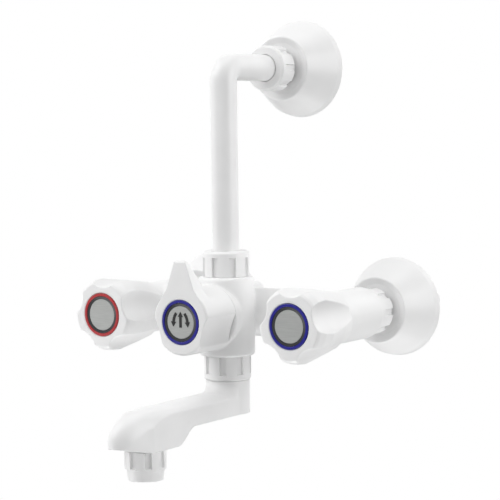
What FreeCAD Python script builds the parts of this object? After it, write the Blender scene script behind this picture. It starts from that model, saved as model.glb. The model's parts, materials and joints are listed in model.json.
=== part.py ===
import FreeCAD, Part
import math
import os
import Sketcher

# Wall-mounted mixer tap in white moulded plastic.
# X runs along the wall, Y into the wall and Z up. The origin lies on the wall's face, midway
# between the two inlets and at the height of the side knobs. Everything in front of the wall
# has negative Y. Along an axis that leaves the wall, "reach" means distance from the wall.

# Driving dimensions in millimetres. Names that end in _r are radii.
SIZES = {
    # where the inlets and the outlet lie
    "inlet_half": 75.0,
    "outlet_height": 164.5,
    # bell flanges on the wall
    "flange_rim_r": 33.9,
    "flange_lip_r": 33.0,
    "flange_lip": 5.0,
    "flange_neck_r": 22.2,
    "flange_depth": 28.4,
    "flange_dish_r": 17.6,
    "flange_dish": 2.0,
    "flange_wall": 2.4,
    # threaded legs that enter the wall
    "leg_thread_r": 10.48,
    "leg_shank_r": 10.1,
    "leg_bore_r": 6.2,
    "leg_thread_behind": 36.0,
    "leg_tip_r": 7.3,
    "leg_tip": 14.0,
    "leg_bevel": 1.2,
    "outlet_leg_behind": 30.0,
    "leg_play": 0.25,
    # union joints, all of one pattern
    "union_r": 12.6,
    "union_play": 0.12,
    "nut_r": 15.5,
    "nut_end": 2.6,
    "nut_bevel": 1.3,
    "wall_nut": 15.0,
    "top_nut": 17.0,
    "spout_nut": 16.0,
    "spout_nut_r": 15.7,
    "slot_count": 8,
    "slot_width": 4.4,
    "slot_depth": 1.3,
    "slot_land": 4.4,
    "washer": 2.0,
    "collar": 2.0,
    "collar_r": 11.9,
    "inlet_nut_gap": 2.8,
    "outlet_nut_gap": 4.1,
    "pipe_r": 9.0,
    "pipe_bore_r": 6.5,
    "pipe_play": 0.3,
    "bend_r": 10.0,
    "tail_depth": 8.0,
    # moulded body: a valve case's seat, the cross tube, the barrel and the boss follow each
    # other out from the wall, each set ahead of the one before it
    "face_gap": 0.4,
    "valve_r": 17.3,
    "valve_bevel": 1.0,
    "seat_wall": 5.4,
    "seat_step": 2.0,
    "cross_r": 16.3,
    "cross_bore_r": 11.0,
    "valve_lip": 0.7,
    "barrel_ahead": 23.4,
    "barrel_r": 18.6,
    "barrel_top": 25.8,
    "barrel_foot": 27.0,
    "barrel_bevel": 1.4,
    "boss_r": 21.6,
    "boss_back_r": 16.0,
    "boss_lip": 0.8,
    "chamber_r": 13.6,
    "port_r": 6.5,
    "feed_r": 10.0,
    "rotor_behind": 10.4,
    "seat_bore_r": 7.0,
    "seat_lip_r": 8.6,
    "seat_lip": 1.2,
    # spindle, headwork and jumper of each side valve
    "running_play": 0.06,
    "head_depth": 9.5,
    "head_flange": 3.0,
    "head_flange_r": 15.2,
    "head_neck_r": 9.9,
    "head_neck": 15.0,
    "head_groove": 3.5,
    "spindle_r": 6.5,
    "nose_r": 7.5,
    "lift": 3.0,
    "nose_gap": 1.25,
    "stem_gap": 1.05,
    "stem_r": 4.0,
    "stem": 11.7,
    "jumper_r": 9.4,
    "jumper_plate": 2.4,
    "seal": 2.6,
    "seal_lift": 0.05,
    "ring_wire": 0.85,
    "spindle_wire": 0.75,
    "spindle_ring_first": 6.0,
    "spindle_ring_gap": 5.0,
    "clip": 1.0,
    "clip_r": 8.3,
    "clip_depth": 0.9,
    "square": 8.0,
    "square_gap": 1.4,
    "square_play": 0.08,
    "screw_r": 2.0,
    "screw_head_r": 4.0,
    "screw_head": 2.4,
    "screw_slot": 0.9,
    # knobs, measured back from the front face
    "knob_gap": 0.6,
    "knob_length": 45.7,
    "knob_face_r": 21.4,
    "knob_edge": 1.6,
    "knob_edge_r": 22.8,
    "knob_lobe": 6.0,
    "knob_lobe_r": 24.6,
    "knob_belly": 14.0,
    "knob_belly_r": 25.2,
    "knob_waist": 33.0,
    "knob_waist_r": 21.9,
    "knob_rear_r": 19.2,
    "knob_lobes": 5,
    "knob_turned": 52.0,
    "flute_r": 15.0,
    "flute_floor_r": 18.5,
    "hollow_play": 0.4,
    "knob_solid": 14.5,
    "hub_r": 9.0,
    "hub_gap": 0.6,
    "web_front": 9.3,
    "web": 2.8,
    "cap_well_r": 6.0,
    "cap_well": 3.0,
    "cap_play": 0.15,
    # diverter knob: a round body with two flats, and a pointer
    "dial_length": 32.2,
    "dial_face_r": 20.6,
    "dial_r": 21.7,
    "dial_edge": 1.2,
    "flat_r": 60.0,
    "flat_floor_r": 18.3,
    "flat_turned": 18.0,
    "pointer_tip": 40.0,
    "pointer_half": 4.2,
    "pointer_root": 21.0,
    "pointer_root_half": 11.0,
    "pointer_foot": 15.0,
    "pointer_foot_half": 15.6,
    "pointer_bevel": 1.2,
    "pointer_thick": 3.2,
    "pointer_heel": 10.4,
    "pointer_heel_up": 24.5,
    # cap: index ring, bezel and badge
    "index_r": 14.5,
    "index_proud": 0.3,
    "bezel_r": 12.5,
    "bezel_play": 0.1,
    "bezel_slope": 0.3,
    "badge_r": 10.6,
    "badge": 1.9,
    "cap_floor": 0.8,
    "mark": 0.25,
    # diverter rotor and bonnet
    "rotor_play": 0.07,
    "rotor_wall": 2.6,
    "rotor_gap": 0.3,
    "rotor_disc": 3.0,
    "window_r": 6.0,
    "window_count": 3,
    "window_rim": 0.3,
    "bonnet_neck": 1.2,
    # swivel spout
    "neck_r": 10.1,
    "neck_play": 0.08,
    "neck_step": 2.9,
    "neck_land": 0.6,
    "neck_wire": 0.9,
    "neck_groove": 1.2,
    "swivel_ring": 1.7,
    "swivel_ring_r": 12.2,
    "spout_thread_r": 12.9,
    "post_r": 14.7,
    "post_length": 7.1,
    "spout_length": 123.4,
    "arm_half": 13.5,
    "arm_shoulder": 3.6,
    "arm_depth": 15.3,
    "bulb_deepening": 10.3,
    "bulb_lead": 35.5,
    "bulb_run": 18.0,
    "nose_round": 24.5,
    "nose_fall": 18.0,
    "nose_lift": 9.5,
    "crease_lead": 17.0,
    "crease_fall": 6.0,
    "channel_r": 6.0,
    "channel_rise": 7.2,
    # nozzle at the spout's end
    "nozzle_inset": 32.3,
    "nozzle_r": 13.2,
    "nozzle_band": 11.4,
    "nozzle_tip_r": 12.1,
    "nozzle_end_r": 11.2,
    "nozzle_tip": 7.4,
    "nozzle_slot_land": 1.4,
    "spigot_r": 10.4,
    "spigot": 7.0,
    "spigot_bore_r": 7.6,
    "nozzle_bore_r": 9.7,
    "flow_disc": 5.0,
    "flow_hole_r": 1.0,
    "flow_pitch": 2.9,
    "nozzle_lip": 1.2,
}

doc = FreeCAD.newDocument("wall_mixer_tap")
sheet = doc.addObject("Spreadsheet::Sheet", "Sizes")
for row, (alias, number) in enumerate(SIZES.items(), start=1):
    sheet.set(f"A{row}", alias)
    sheet.set(f"B{row}", str(number))
    sheet.setAlias(f"B{row}", alias)
doc.recompute()


class Size:
    """A number together with the expression that keeps it tied to the sheet."""

    def __init__(self, value, text):
        self.value = float(value)
        self.text = text

    def joined(self, other, sign, value):
        return Size(value, f"({self.text} {sign} {as_size(other).text})")

    def __add__(self, other):
        return self.joined(other, "+", self.value + as_size(other).value)

    def __sub__(self, other):
        return self.joined(other, "-", self.value - as_size(other).value)

    def __mul__(self, other):
        return self.joined(other, "*", self.value * as_size(other).value)

    def __truediv__(self, other):
        return self.joined(other, "/", self.value / as_size(other).value)

    def __neg__(self):
        return Size(-self.value, f"(0 - {self.text})")


def as_size(number):
    return number if isinstance(number, Size) else Size(number, repr(float(number)))


class Sizes:
    """The sheet's cells by name, as sizes that can be added and scaled."""

    def __getattr__(self, alias):
        return Size(sheet.get(alias), f"Sizes.{alias}")


s = Sizes()
ORIGIN = as_size(0.0)
X_AXIS = FreeCAD.Vector(1, 0, 0)
Y_AXIS = FreeCAD.Vector(0, 1, 0)
Z_AXIS = FreeCAD.Vector(0, 0, 1)

# A turned piece is drawn as radius against distance along the local Y axis.
TURNED = {
    "out": FreeCAD.Rotation(Z_AXIS, 180),
    "up": FreeCAD.Rotation(X_AXIS, 90),
    "down": FreeCAD.Rotation(X_AXIS, -90),
}
# A plain rod runs along its local Z axis.
RODS = {
    "out": FreeCAD.Rotation(X_AXIS, 90),
    "up": FreeCAD.Rotation(),
    "down": FreeCAD.Rotation(X_AXIS, 180),
    "right": FreeCAD.Rotation(Y_AXIS, 90),
}
STEP = {"out": (0, -1, 0), "up": (0, 0, 1), "down": (0, 0, -1), "right": (1, 0, 0)}


class Axis:
    """A line that pieces are placed along: a start, and one of the four ways."""

    def __init__(self, x, y, z, way):
        self.base = [as_size(x), as_size(y), as_size(z)]
        self.way = way

    def shifted(self, along):
        step = STEP[self.way]
        base = [b + as_size(along) * step[i] if step[i] else b for i, b in enumerate(self.base)]
        return Axis(*base, self.way)


def place(piece, base, rotation):
    piece.Placement = FreeCAD.Placement(FreeCAD.Vector(*[b.value for b in base]), rotation)
    for name, coordinate in zip("xyz", base):
        if "Sizes." in coordinate.text:
            piece.setExpression(f"Placement.Base.{name}", coordinate.text)
    return piece


def turned(label, axis, profile):
    """A body turned about an axis from a closed outline of (radius, distance) points."""
    points = [(as_size(r), as_size(along)) for r, along in profile]
    body = doc.addObject("PartDesign::Body", label)
    sketch = body.newObject("Sketcher::SketchObject", label + "_outline")
    plane = next(f for f in body.Origin.OriginFeatures if f.Role == "XY_Plane")
    sketch.AttachmentSupport = [(plane, "")]
    sketch.MapMode = "FlatFace"
    count = len(points)
    corners = [FreeCAD.Vector(r.value, along.value, 0) for r, along in points]
    for i in range(count):
        sketch.addGeometry(Part.LineSegment(corners[i], corners[(i + 1) % count]), False)
    for i in range(count):
        sketch.addConstraint(Sketcher.Constraint("Coincident", i, 2, (i + 1) % count, 1))
    for i, point in enumerate(points):
        for kind, line, coordinate in (("DistanceX", -2, point[0]), ("DistanceY", -1, point[1])):
            if coordinate.value == 0 and "Sizes." not in coordinate.text:
                sketch.addConstraint(Sketcher.Constraint("PointOnObject", i, 1, line))
                continue
            number = sketch.addConstraint(Sketcher.Constraint(kind, -1, 1, i, 1, coordinate.value))
            if "Sizes." in coordinate.text:
                sketch.setExpression(f"Constraints[{number}]", coordinate.text)
    turn = body.newObject("PartDesign::Revolution", label + "_turn")
    turn.Profile = sketch
    turn.ReferenceAxis = (sketch, ["V_Axis"])
    turn.Angle = 360
    place(body, axis.base, TURNED[axis.way])
    return body


def tie(piece, **properties):
    for name, size in properties.items():
        size = as_size(size)
        setattr(piece, name, size.value)
        if "Sizes." in size.text:
            piece.setExpression(name, size.text)
    return piece


def rod(label, axis, radius, length):
    piece = tie(doc.addObject("Part::Cylinder", label), Radius=radius, Height=length)
    return place(piece, axis.base, RODS[axis.way])


def ring_wire(label, axis, radius, wire):
    """A round rubber ring: a torus about the axis."""
    piece = tie(doc.addObject("Part::Torus", label), Radius1=radius, Radius2=wire)
    return place(piece, axis.base, RODS[axis.way])


def square_bar(label, axis, side, length):
    piece = tie(doc.addObject("Part::Box", label), Length=side, Width=side, Height=length)
    half = as_size(side) / 2
    local = [-half, -half, ORIGIN]
    place(piece, local, FreeCAD.Rotation())
    holder = doc.addObject("Part::Compound", label + "_placed")
    holder.Links = [piece]
    return place(holder, axis.base, RODS[axis.way])


def around(label, seed, axis, angles):
    """Copies of a seed, which is drawn about the local Z axis, turned about an axis."""
    copies = []
    for number, angle in enumerate(angles, start=1):
        copy = doc.addObject("Part::Compound", f"{label}_{number}")
        copy.Links = [seed]
        copies.append(place(copy, axis.base, RODS[axis.way].multiply(FreeCAD.Rotation(Z_AXIS, angle))))
    return copies


def fuse(label, pieces):
    joined = doc.addObject("Part::MultiFuse", label)
    joined.Shapes = pieces
    joined.Refine = True
    return joined


def group(label, pieces):
    held = doc.addObject("Part::Compound", label)
    held.Links = pieces
    return held


def cut(label, base, tools):
    tool = tools[0] if len(tools) == 1 else fuse(label + "_cutters", tools)
    result = doc.addObject("Part::Cut", label)
    result.Base = base
    result.Tool = tool
    result.Refine = True
    return result


def held_shape(label, shape, axis):
    """A piece whose form only Part's own functions make, drawn about the local Z axis."""
    piece = doc.addObject("Part::Feature", label)
    piece.Shape = shape
    return place(piece, axis.base, RODS[axis.way])


nodes = {}


def node(piece):
    nodes[piece.Label] = piece
    return piece


def spread(count, first=0.0):
    return [first + 360.0 / count * k for k in range(count)]


# Places that several pieces share, from the wall outwards.
inlet_nut_back = s.flange_depth + s.inlet_nut_gap
inlet_nut_face = inlet_nut_back + s.wall_nut
collar_face = inlet_nut_face - s.nut_end
leg_face = collar_face - s.collar - s.washer
outlet_nut_back = s.flange_depth + s.outlet_nut_gap
outlet_collar_face = outlet_nut_back + s.wall_nut - s.nut_end
outlet_leg_face = outlet_collar_face - s.collar - s.washer
valve_back = inlet_nut_face + s.face_gap
tail_end = valve_back + s.tail_depth
seat_face = tail_end + s.seat_wall
cross_reach = seat_face + s.seat_step + s.cross_bore_r
valve_front = cross_reach + s.cross_r + s.valve_lip
knob_face = valve_front + s.knob_gap + s.knob_length
barrel_reach = cross_reach + s.barrel_ahead
boss_face = barrel_reach + s.barrel_r + s.boss_lip
rotor_seat = barrel_reach - s.rotor_behind
diverter_face = boss_face + s.knob_gap + s.dial_length
nose_reach = barrel_reach + s.spout_length
nozzle_reach = nose_reach - s.nozzle_inset
bulb_back = nozzle_reach - s.bulb_lead

# Places that several pieces share, along the barrel's axis.
neck_top = s.chamber_r + s.neck_step
spout_nut_end = s.barrel_foot + s.spout_nut
post_top = spout_nut_end + s.pipe_play
arm_top = post_top + s.post_length
arm_edge = arm_top + s.arm_shoulder
arm_under = arm_top + s.arm_depth
bulb_under = arm_under + s.bulb_deepening
channel_drop = arm_under - s.channel_rise
top_nut_end = s.barrel_top + s.top_nut
riser_foot = top_nut_end - s.nut_end - s.collar
top_spigot_end = riser_foot - s.washer
nut_hole_r = s.pipe_r + s.pipe_play
nut_thread_r = s.union_r + s.union_play


def flange(label, x, z):
    """A hollow bell that covers the hole in the wall, dished around the leg."""
    dish_face = s.flange_depth - s.flange_dish
    inner_face = dish_face - s.flange_wall
    hole_r = s.leg_shank_r + s.leg_play
    return node(turned(label, Axis(x, 0, z, "out"), [
        (s.flange_rim_r, 0), (s.flange_lip_r, s.flange_lip), (s.flange_neck_r, s.flange_depth),
        (s.flange_dish_r, dish_face), (hole_r, dish_face), (hole_r, inner_face),
        (s.flange_neck_r - s.flange_wall, inner_face), (s.flange_rim_r - s.flange_wall, 0)]))


def leg(label, x, z, behind, tip, face):
    """A leg: its thread goes into the wall, a plain shank crosses the flange's hollow, and the
    wider head takes the union nut."""
    hidden = behind + tip
    axis = Axis(x, hidden, z, "out")
    back_r = s.leg_tip_r if tip.value else s.leg_thread_r - s.leg_bevel
    tip_corners = [(s.leg_tip_r, tip)] if tip.value else []
    return node(turned(label, axis, [
        (s.leg_bore_r, 0), (back_r, 0), *tip_corners, (s.leg_thread_r, tip + s.leg_bevel),
        (s.leg_thread_r, hidden), (s.leg_shank_r, hidden),
        (s.leg_shank_r, hidden + s.flange_depth), (s.union_r, hidden + s.flange_depth),
        (s.union_r, hidden + face), (s.leg_bore_r, hidden + face)]))


def union_nut(label, axis, length, outer_r, thread_r, hole_r, first_slot=0.0):
    """A ribbed nut: open at its foot, closed but for the pipe's hole at its far end."""
    blank = turned(label + "_blank", axis, [
        (thread_r, 0), (outer_r, 0), (outer_r, length - s.nut_bevel), (outer_r - s.nut_bevel, length),
        (hole_r, length), (hole_r, length - s.nut_end), (thread_r, length - s.nut_end)])
    return node(cut(label, blank, slots(label, axis, outer_r, length - s.slot_land, first_slot)))


def slots(label, axis, outer_r, length, first=0.0):
    """Grooves round a nut that open at its foot."""
    overrun = s.slot_depth
    seed = tie(doc.addObject("Part::Box", label + "_groove"), Length=s.slot_depth + overrun,
               Width=s.slot_width, Height=length + overrun)
    place(seed, [outer_r - s.slot_depth, -(s.slot_width / 2), -overrun], FreeCAD.Rotation())
    count = int(s.slot_count.value)
    return around(label + "_groove_copy", seed, axis, spread(count, first))


def washer(label, axis, inner_r, outer_r, thickness):
    """A flat ring of rubber or plastic, from the axis's start."""
    return node(turned(label, axis, [
        (inner_r, 0), (outer_r, 0), (outer_r, thickness), (inner_r, thickness)]))


# Wall side: flanges, legs, union nuts, washers and the tail pipes of the body.
sides = {"hot": -s.inlet_half, "cold": s.inlet_half}
for side, x in sides.items():
    wall = Axis(x, 0, 0, "out")
    flange(f"{side}_flange", x, 0)
    leg(f"{side}_inlet_leg", x, 0, s.leg_thread_behind, s.leg_tip, leg_face)
    union_nut(f"{side}_union_nut", wall.shifted(inlet_nut_back), s.wall_nut, s.nut_r, nut_thread_r,
              nut_hole_r)
    washer(f"{side}_union_washer", wall.shifted(leg_face), s.pipe_bore_r, s.collar_r, s.washer)
    collar_back = leg_face + s.washer
    node(turned(f"{side}_tail_pipe", wall.shifted(collar_back), [
        (s.pipe_bore_r, 0), (s.collar_r, 0), (s.collar_r, s.collar), (s.pipe_r, s.collar),
        (s.pipe_r, tail_end - collar_back), (s.pipe_bore_r, tail_end - collar_back)]))

outlet = Axis(0, 0, s.outlet_height, "out")
flange("outlet_flange", 0, s.outlet_height)
leg("outlet_leg", 0, s.outlet_height, s.outlet_leg_behind, as_size(0), outlet_leg_face)
union_nut("outlet_union_nut", outlet.shifted(outlet_nut_back), s.wall_nut, s.nut_r,
          nut_thread_r, nut_hole_r)
washer("outlet_union_washer", outlet.shifted(outlet_leg_face), s.pipe_bore_r, s.collar_r, s.washer)

# Riser: an L-shaped pipe from the barrel's top to the outlet in the wall.
column = Axis(0, -barrel_reach, 0, "up")
union_nut("riser_nut", column.shifted(s.barrel_top), s.top_nut, s.nut_r, nut_thread_r, nut_hole_r)
washer("riser_washer", column.shifted(top_spigot_end), s.pipe_bore_r, s.collar_r, s.washer)


def riser_shape(label, radius, overrun):
    """The bent pipe as a solid of one radius, made longer at both ends by the overrun."""
    upright = s.outlet_height - s.bend_r - riser_foot
    level = barrel_reach - s.bend_r - outlet_collar_face + s.collar
    foot = rod(label + "_upright", column.shifted(riser_foot - overrun), radius, upright + overrun)
    start = outlet.shifted(outlet_collar_face - s.collar - overrun)
    arm = rod(label + "_level", start, radius, level + overrun)
    bend = tie(doc.addObject("Part::Torus", label + "_bend"), Radius1=s.bend_r, Radius2=radius)
    bend.Angle3 = 90
    toward_room = FreeCAD.Vector(0, -1, 0)
    facing = FreeCAD.Rotation(toward_room, Z_AXIS, toward_room.cross(Z_AXIS), "XYZ")
    place(bend, [ORIGIN, s.bend_r - barrel_reach, s.outlet_height - s.bend_r], facing)
    return [foot, bend, arm]


riser_collars = [
    rod("riser_foot_collar", column.shifted(riser_foot), s.collar_r, s.collar),
    rod("riser_wall_collar", outlet.shifted(outlet_collar_face - s.collar), s.collar_r, s.collar),
]
riser_outside = fuse("riser_outside", riser_shape("riser_outer", s.pipe_r, as_size(0)) + riser_collars)
riser_inside = fuse("riser_inside", riser_shape("riser_inner", s.pipe_bore_r, s.face_gap))
node(cut("riser_bend", riser_outside, [riser_inside]))

# Moulded body: two side valves, the cross tube, the barrel and the diverter's boss.
front = Axis(0, 0, 0, "out")
drop = Axis(0, -barrel_reach, 0, "down")
spout_spigot_end = spout_nut_end - s.nut_end - s.swivel_ring - s.face_gap
body_parts = [
    turned("barrel_upper", column, [
        (0, 0), (s.barrel_r, 0), (s.barrel_r, s.barrel_top - s.barrel_bevel),
        (s.barrel_r - s.barrel_bevel, s.barrel_top), (s.union_r, s.barrel_top),
        (s.union_r, top_spigot_end), (0, top_spigot_end)]),
    turned("barrel_lower", drop, [
        (0, 0), (s.barrel_r, 0), (s.barrel_r, s.barrel_foot - s.barrel_bevel),
        (s.barrel_r - s.barrel_bevel, s.barrel_foot), (s.spout_thread_r, s.barrel_foot),
        (s.spout_thread_r, spout_spigot_end), (0, spout_spigot_end)]),
    rod("cross_tube", Axis(-s.inlet_half, -cross_reach, 0, "right"), s.cross_r, s.inlet_half * 2),
    turned("diverter_boss", front, [
        (0, barrel_reach), (s.boss_back_r, barrel_reach), (s.boss_r, boss_face),
        (0, boss_face)]),
]
body_bores = [
    rod("cross_bore", Axis(-s.inlet_half, -cross_reach, 0, "right"), s.cross_bore_r,
        s.inlet_half * 2),
    turned("diverter_chamber", front, [
        (0, cross_reach), (s.feed_r, cross_reach), (s.feed_r, rotor_seat),
        (s.chamber_r, rotor_seat), (s.chamber_r, boss_face + s.face_gap),
        (0, boss_face + s.face_gap)]),
    rod("port_up", column, s.port_r, top_spigot_end + s.face_gap),
    turned("spout_bore", drop, [
        (0, 0), (s.port_r, 0), (s.port_r, neck_top), (s.neck_r + s.neck_play, neck_top),
        (s.neck_r + s.neck_play, spout_spigot_end + s.face_gap),
        (0, spout_spigot_end + s.face_gap)]),
]
for side, x in sides.items():
    wall = Axis(x, 0, 0, "out")
    body_parts.append(turned(f"{side}_valve_case", wall, [
        (0, valve_back), (s.valve_r - s.valve_bevel, valve_back),
        (s.valve_r, valve_back + s.valve_bevel), (s.valve_r, valve_front), (0, valve_front)]))
    lip_top = seat_face + s.seat_lip
    body_bores.append(turned(f"{side}_valve_bore", wall, [
        (0, valve_back - s.face_gap), (s.pipe_r, valve_back - s.face_gap), (s.pipe_r, tail_end),
        (s.seat_bore_r, tail_end), (s.seat_bore_r, lip_top), (s.seat_lip_r, lip_top),
        (s.seat_lip_r, seat_face), (s.chamber_r, seat_face),
        (s.chamber_r, valve_front + s.face_gap), (0, valve_front + s.face_gap)]))
node(cut("mixer_body", fuse("body_solid", body_parts), body_bores))


def fluted(label, blank, axis, face, length, radius, floor_r, angles):
    """A knob's blank with grooves of one radius cut along it at the given angles."""
    overrun = s.collar
    seed = rod(label + "_flute", Axis(floor_r + radius, 0, face - length - overrun, "up"), radius,
               length + overrun * 2)
    return cut(label, blank, around(label + "_flute_copy", seed, axis, angles))


def knob_form(label, axis, face, length):
    """The lobed outside of a side knob."""
    blank = turned(label + "_belly", axis, [
        (0, face - length), (s.knob_rear_r, face - length), (s.knob_waist_r, face - s.knob_waist),
        (s.knob_belly_r, face - s.knob_belly), (s.knob_lobe_r, face - s.knob_lobe),
        (s.knob_edge_r, face - s.knob_edge), (s.knob_face_r, face), (0, face)])
    count = int(s.knob_lobes.value)
    angles = spread(count, s.knob_turned.value + 180.0 / count)
    return fluted(label + "_form", blank, axis, face, length, s.flute_r, s.flute_floor_r, angles)


def knob_hollow(label, axis, face, length, hub_face):
    """Everything cut out of a knob: its skirt's hollow, square socket, screw hole and cap seat."""
    overrun = s.collar
    web_face = face - s.web_front
    web_back = web_face - s.web
    hollow_r = s.head_flange_r + s.hollow_play
    well_r = s.index_r + s.cap_play
    skirt = turned(label + "_hollow", axis, [
        (0, face - length - overrun), (hollow_r, face - length - overrun),
        (hollow_r, face - s.knob_solid), (s.hub_r, face - s.knob_solid), (s.hub_r, hub_face),
        (0, hub_face)])
    socket = square_bar(label + "_socket", axis.shifted(hub_face - overrun),
                        s.square + s.square_play * 2, web_back - hub_face + overrun)
    screw_way = turned(label + "_screw_way", axis, [
        (0, web_back - overrun), (s.screw_r + s.square_play, web_back - overrun),
        (s.screw_r + s.square_play, web_face), (s.cap_well_r, web_face),
        (s.cap_well_r, face - s.cap_well), (well_r, face - s.cap_well),
        (well_r, face + overrun), (0, face + overrun)])
    return [skirt, socket, screw_way]


def cap(prefix, axis, face):
    """The disc set into a knob's face: index ring, bezel and badge."""
    seat = face - s.cap_well
    floor_top = seat + s.cap_floor
    badge_face = floor_top + s.badge
    washer(f"{prefix}_index_ring", axis.shifted(seat), s.bezel_r + s.bezel_play, s.index_r,
           s.cap_well + s.index_proud)
    node(turned(f"{prefix}_bezel", axis, [
        (0, seat), (s.bezel_r, seat), (s.bezel_r, face), (s.badge_r, face - s.bezel_slope),
        (s.badge_r, floor_top), (0, floor_top)]))
    node(rod(f"{prefix}_badge", axis.shifted(floor_top), s.badge_r, s.badge))
    return badge_face


def drive(prefix, axis, face, square_back, body_shape):
    """Square drive on a spindle, with the tapped hole and the screw that holds the knob."""
    web_face = face - s.web_front
    square_front = web_face - s.web - s.square_gap
    square_length = square_front - square_back
    bar = square_bar(f"{prefix}_square", axis.shifted(square_back), s.square, square_length)
    depth = square_length - s.washer
    hole = rod(f"{prefix}_tapped_hole", axis.shifted(square_front - depth), s.screw_r,
               depth + s.face_gap)
    node(cut(f"{prefix}_spindle", fuse(f"{prefix}_spindle_solid", [body_shape, bar]), [hole]))
    shank = web_face - square_front + depth
    start = axis.shifted(square_front - depth)
    screw = turned(f"{prefix}_screw_blank", start, [
        (0, 0), (s.screw_r, 0), (s.screw_r, shank), (s.screw_head_r, shank),
        (s.screw_head_r, shank + s.screw_head), (0, shank + s.screw_head)])
    bars = []
    for number, (length, width) in enumerate(((s.screw_head_r, s.screw_slot),
                                              (s.screw_slot, s.screw_head_r)), start=1):
        bar = tie(doc.addObject("Part::Box", f"{prefix}_cross_{number}"), Length=length, Width=width,
                  Height=s.screw_head)
        place(bar, [-(length / 2), -(width / 2), ORIGIN], FreeCAD.Rotation())
        bars.append(bar)
    cross = group(f"{prefix}_cross", bars)
    place(cross, axis.shifted(web_face + s.screw_head / 2).base, RODS[axis.way])
    node(cut(f"{prefix}_knob_screw", screw, [cross]))


def retaining_clip(label, axis, groove_r, outer_r, thickness):
    """A split ring that snaps into a groove."""
    blank = turned(label + "_blank", axis, [
        (groove_r, 0), (outer_r, 0), (outer_r, thickness), (groove_r, thickness)])
    gap = tie(doc.addObject("Part::Box", label + "_gap"), Length=outer_r * 2, Width=groove_r,
              Height=thickness * 3)
    place(gap, [ORIGIN, -(groove_r / 2), -thickness], FreeCAD.Rotation())
    held = group(label + "_gap_placed", [gap])
    place(held, axis.base, RODS[axis.way])
    return node(cut(label, blank, [held]))


def spindle_outline(nose_points, start, ring_starts, clip_start, end):
    """A spindle's outline from its nose to the foot of its square, with grooves on the way."""
    groove_r = s.spindle_r - s.spindle_wire * 2
    points = list(nose_points) + [(s.spindle_r, start)]
    for ring in ring_starts:
        points += [(s.spindle_r, ring), (groove_r, ring), (groove_r, ring + s.spindle_wire * 2.2),
                   (s.spindle_r, ring + s.spindle_wire * 2.2)]
    clip_r = s.spindle_r - s.clip_depth
    clip_end = clip_start + s.clip
    points += [(s.spindle_r, clip_start), (clip_r, clip_start), (clip_r, clip_end),
               (s.spindle_r, clip_end), (s.spindle_r, end), (0, end)]
    return points


def spindle_rings(label, axis, starts):
    """The rubber rings of a spindle, one solid each."""
    rings = [ring_wire(f"{label}_{number}", axis.shifted(start + s.spindle_wire * 1.1),
                       s.spindle_r - s.spindle_wire, s.spindle_wire)
             for number, start in enumerate(starts, start=1)]
    return node(group(label, rings))


# Side valves: headwork, spindle, jumper and knob.
spindle_bore_r = s.spindle_r + s.running_play
head_back = valve_front - s.head_depth
head_end = valve_front + s.head_flange + s.head_neck
groove_start = head_back + s.head_groove
groove_floor_r = s.chamber_r - s.running_play - s.ring_wire * 2
for side, x in sides.items():
    axis = Axis(x, 0, 0, "out")
    thread_r = s.chamber_r - s.running_play
    groove_end = groove_start + s.ring_wire * 2.2
    node(turned(f"{side}_headwork", axis, [
        (spindle_bore_r, head_back), (thread_r, head_back), (thread_r, groove_start),
        (groove_floor_r, groove_start), (groove_floor_r, groove_end), (thread_r, groove_end),
        (thread_r, valve_front), (s.head_flange_r, valve_front),
        (s.head_flange_r, valve_front + s.head_flange),
        (s.head_neck_r, valve_front + s.head_flange), (s.head_neck_r, head_end),
        (spindle_bore_r, head_end)]))
    node(ring_wire(f"{side}_headwork_ring", axis.shifted(groove_start + s.ring_wire * 1.1),
                   groove_floor_r + s.ring_wire, s.ring_wire))
    seal_back = seat_face + s.seat_lip + s.seal_lift
    plate_back = seal_back + s.seal
    plate_front = plate_back + s.jumper_plate
    node(rod(f"{side}_valve_seal", axis.shifted(seal_back), s.jumper_r, s.seal))
    node(turned(f"{side}_jumper", axis, [
        (0, plate_back), (s.jumper_r, plate_back), (s.jumper_r, plate_front),
        (s.stem_r, plate_front), (s.stem_r, plate_front + s.stem), (0, plate_front + s.stem)]))
    nose_front = head_back - s.seal_lift * 4
    nose_back = plate_front + s.lift + s.nose_gap
    socket_end = plate_front + s.stem + s.lift + s.stem_gap
    socket_r = s.stem_r + s.running_play
    ring_starts = [head_back + s.spindle_ring_first + s.spindle_ring_gap * k for k in (1, 2)]
    clip_start = head_end + s.seal_lift * 4
    square_back = clip_start + s.clip + s.hub_gap
    shaft = turned(f"{side}_spindle_shaft", axis, spindle_outline(
        [(0, socket_end), (socket_r, socket_end), (socket_r, nose_back), (s.nose_r, nose_back),
         (s.nose_r, nose_front)], nose_front, ring_starts, clip_start, square_back))
    drive(side, axis, knob_face, square_back, shaft)
    spindle_rings(f"{side}_spindle_rings", axis, ring_starts)
    retaining_clip(f"{side}_spindle_clip", axis.shifted(clip_start), s.spindle_r - s.clip_depth,
                   s.clip_r, s.clip)
    form = knob_form(f"{side}_knob", axis, knob_face, s.knob_length)
    node(cut(f"{side}_knob", form, knob_hollow(f"{side}_knob", axis, knob_face, s.knob_length, square_back)))
    cap(side, axis, knob_face)

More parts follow.
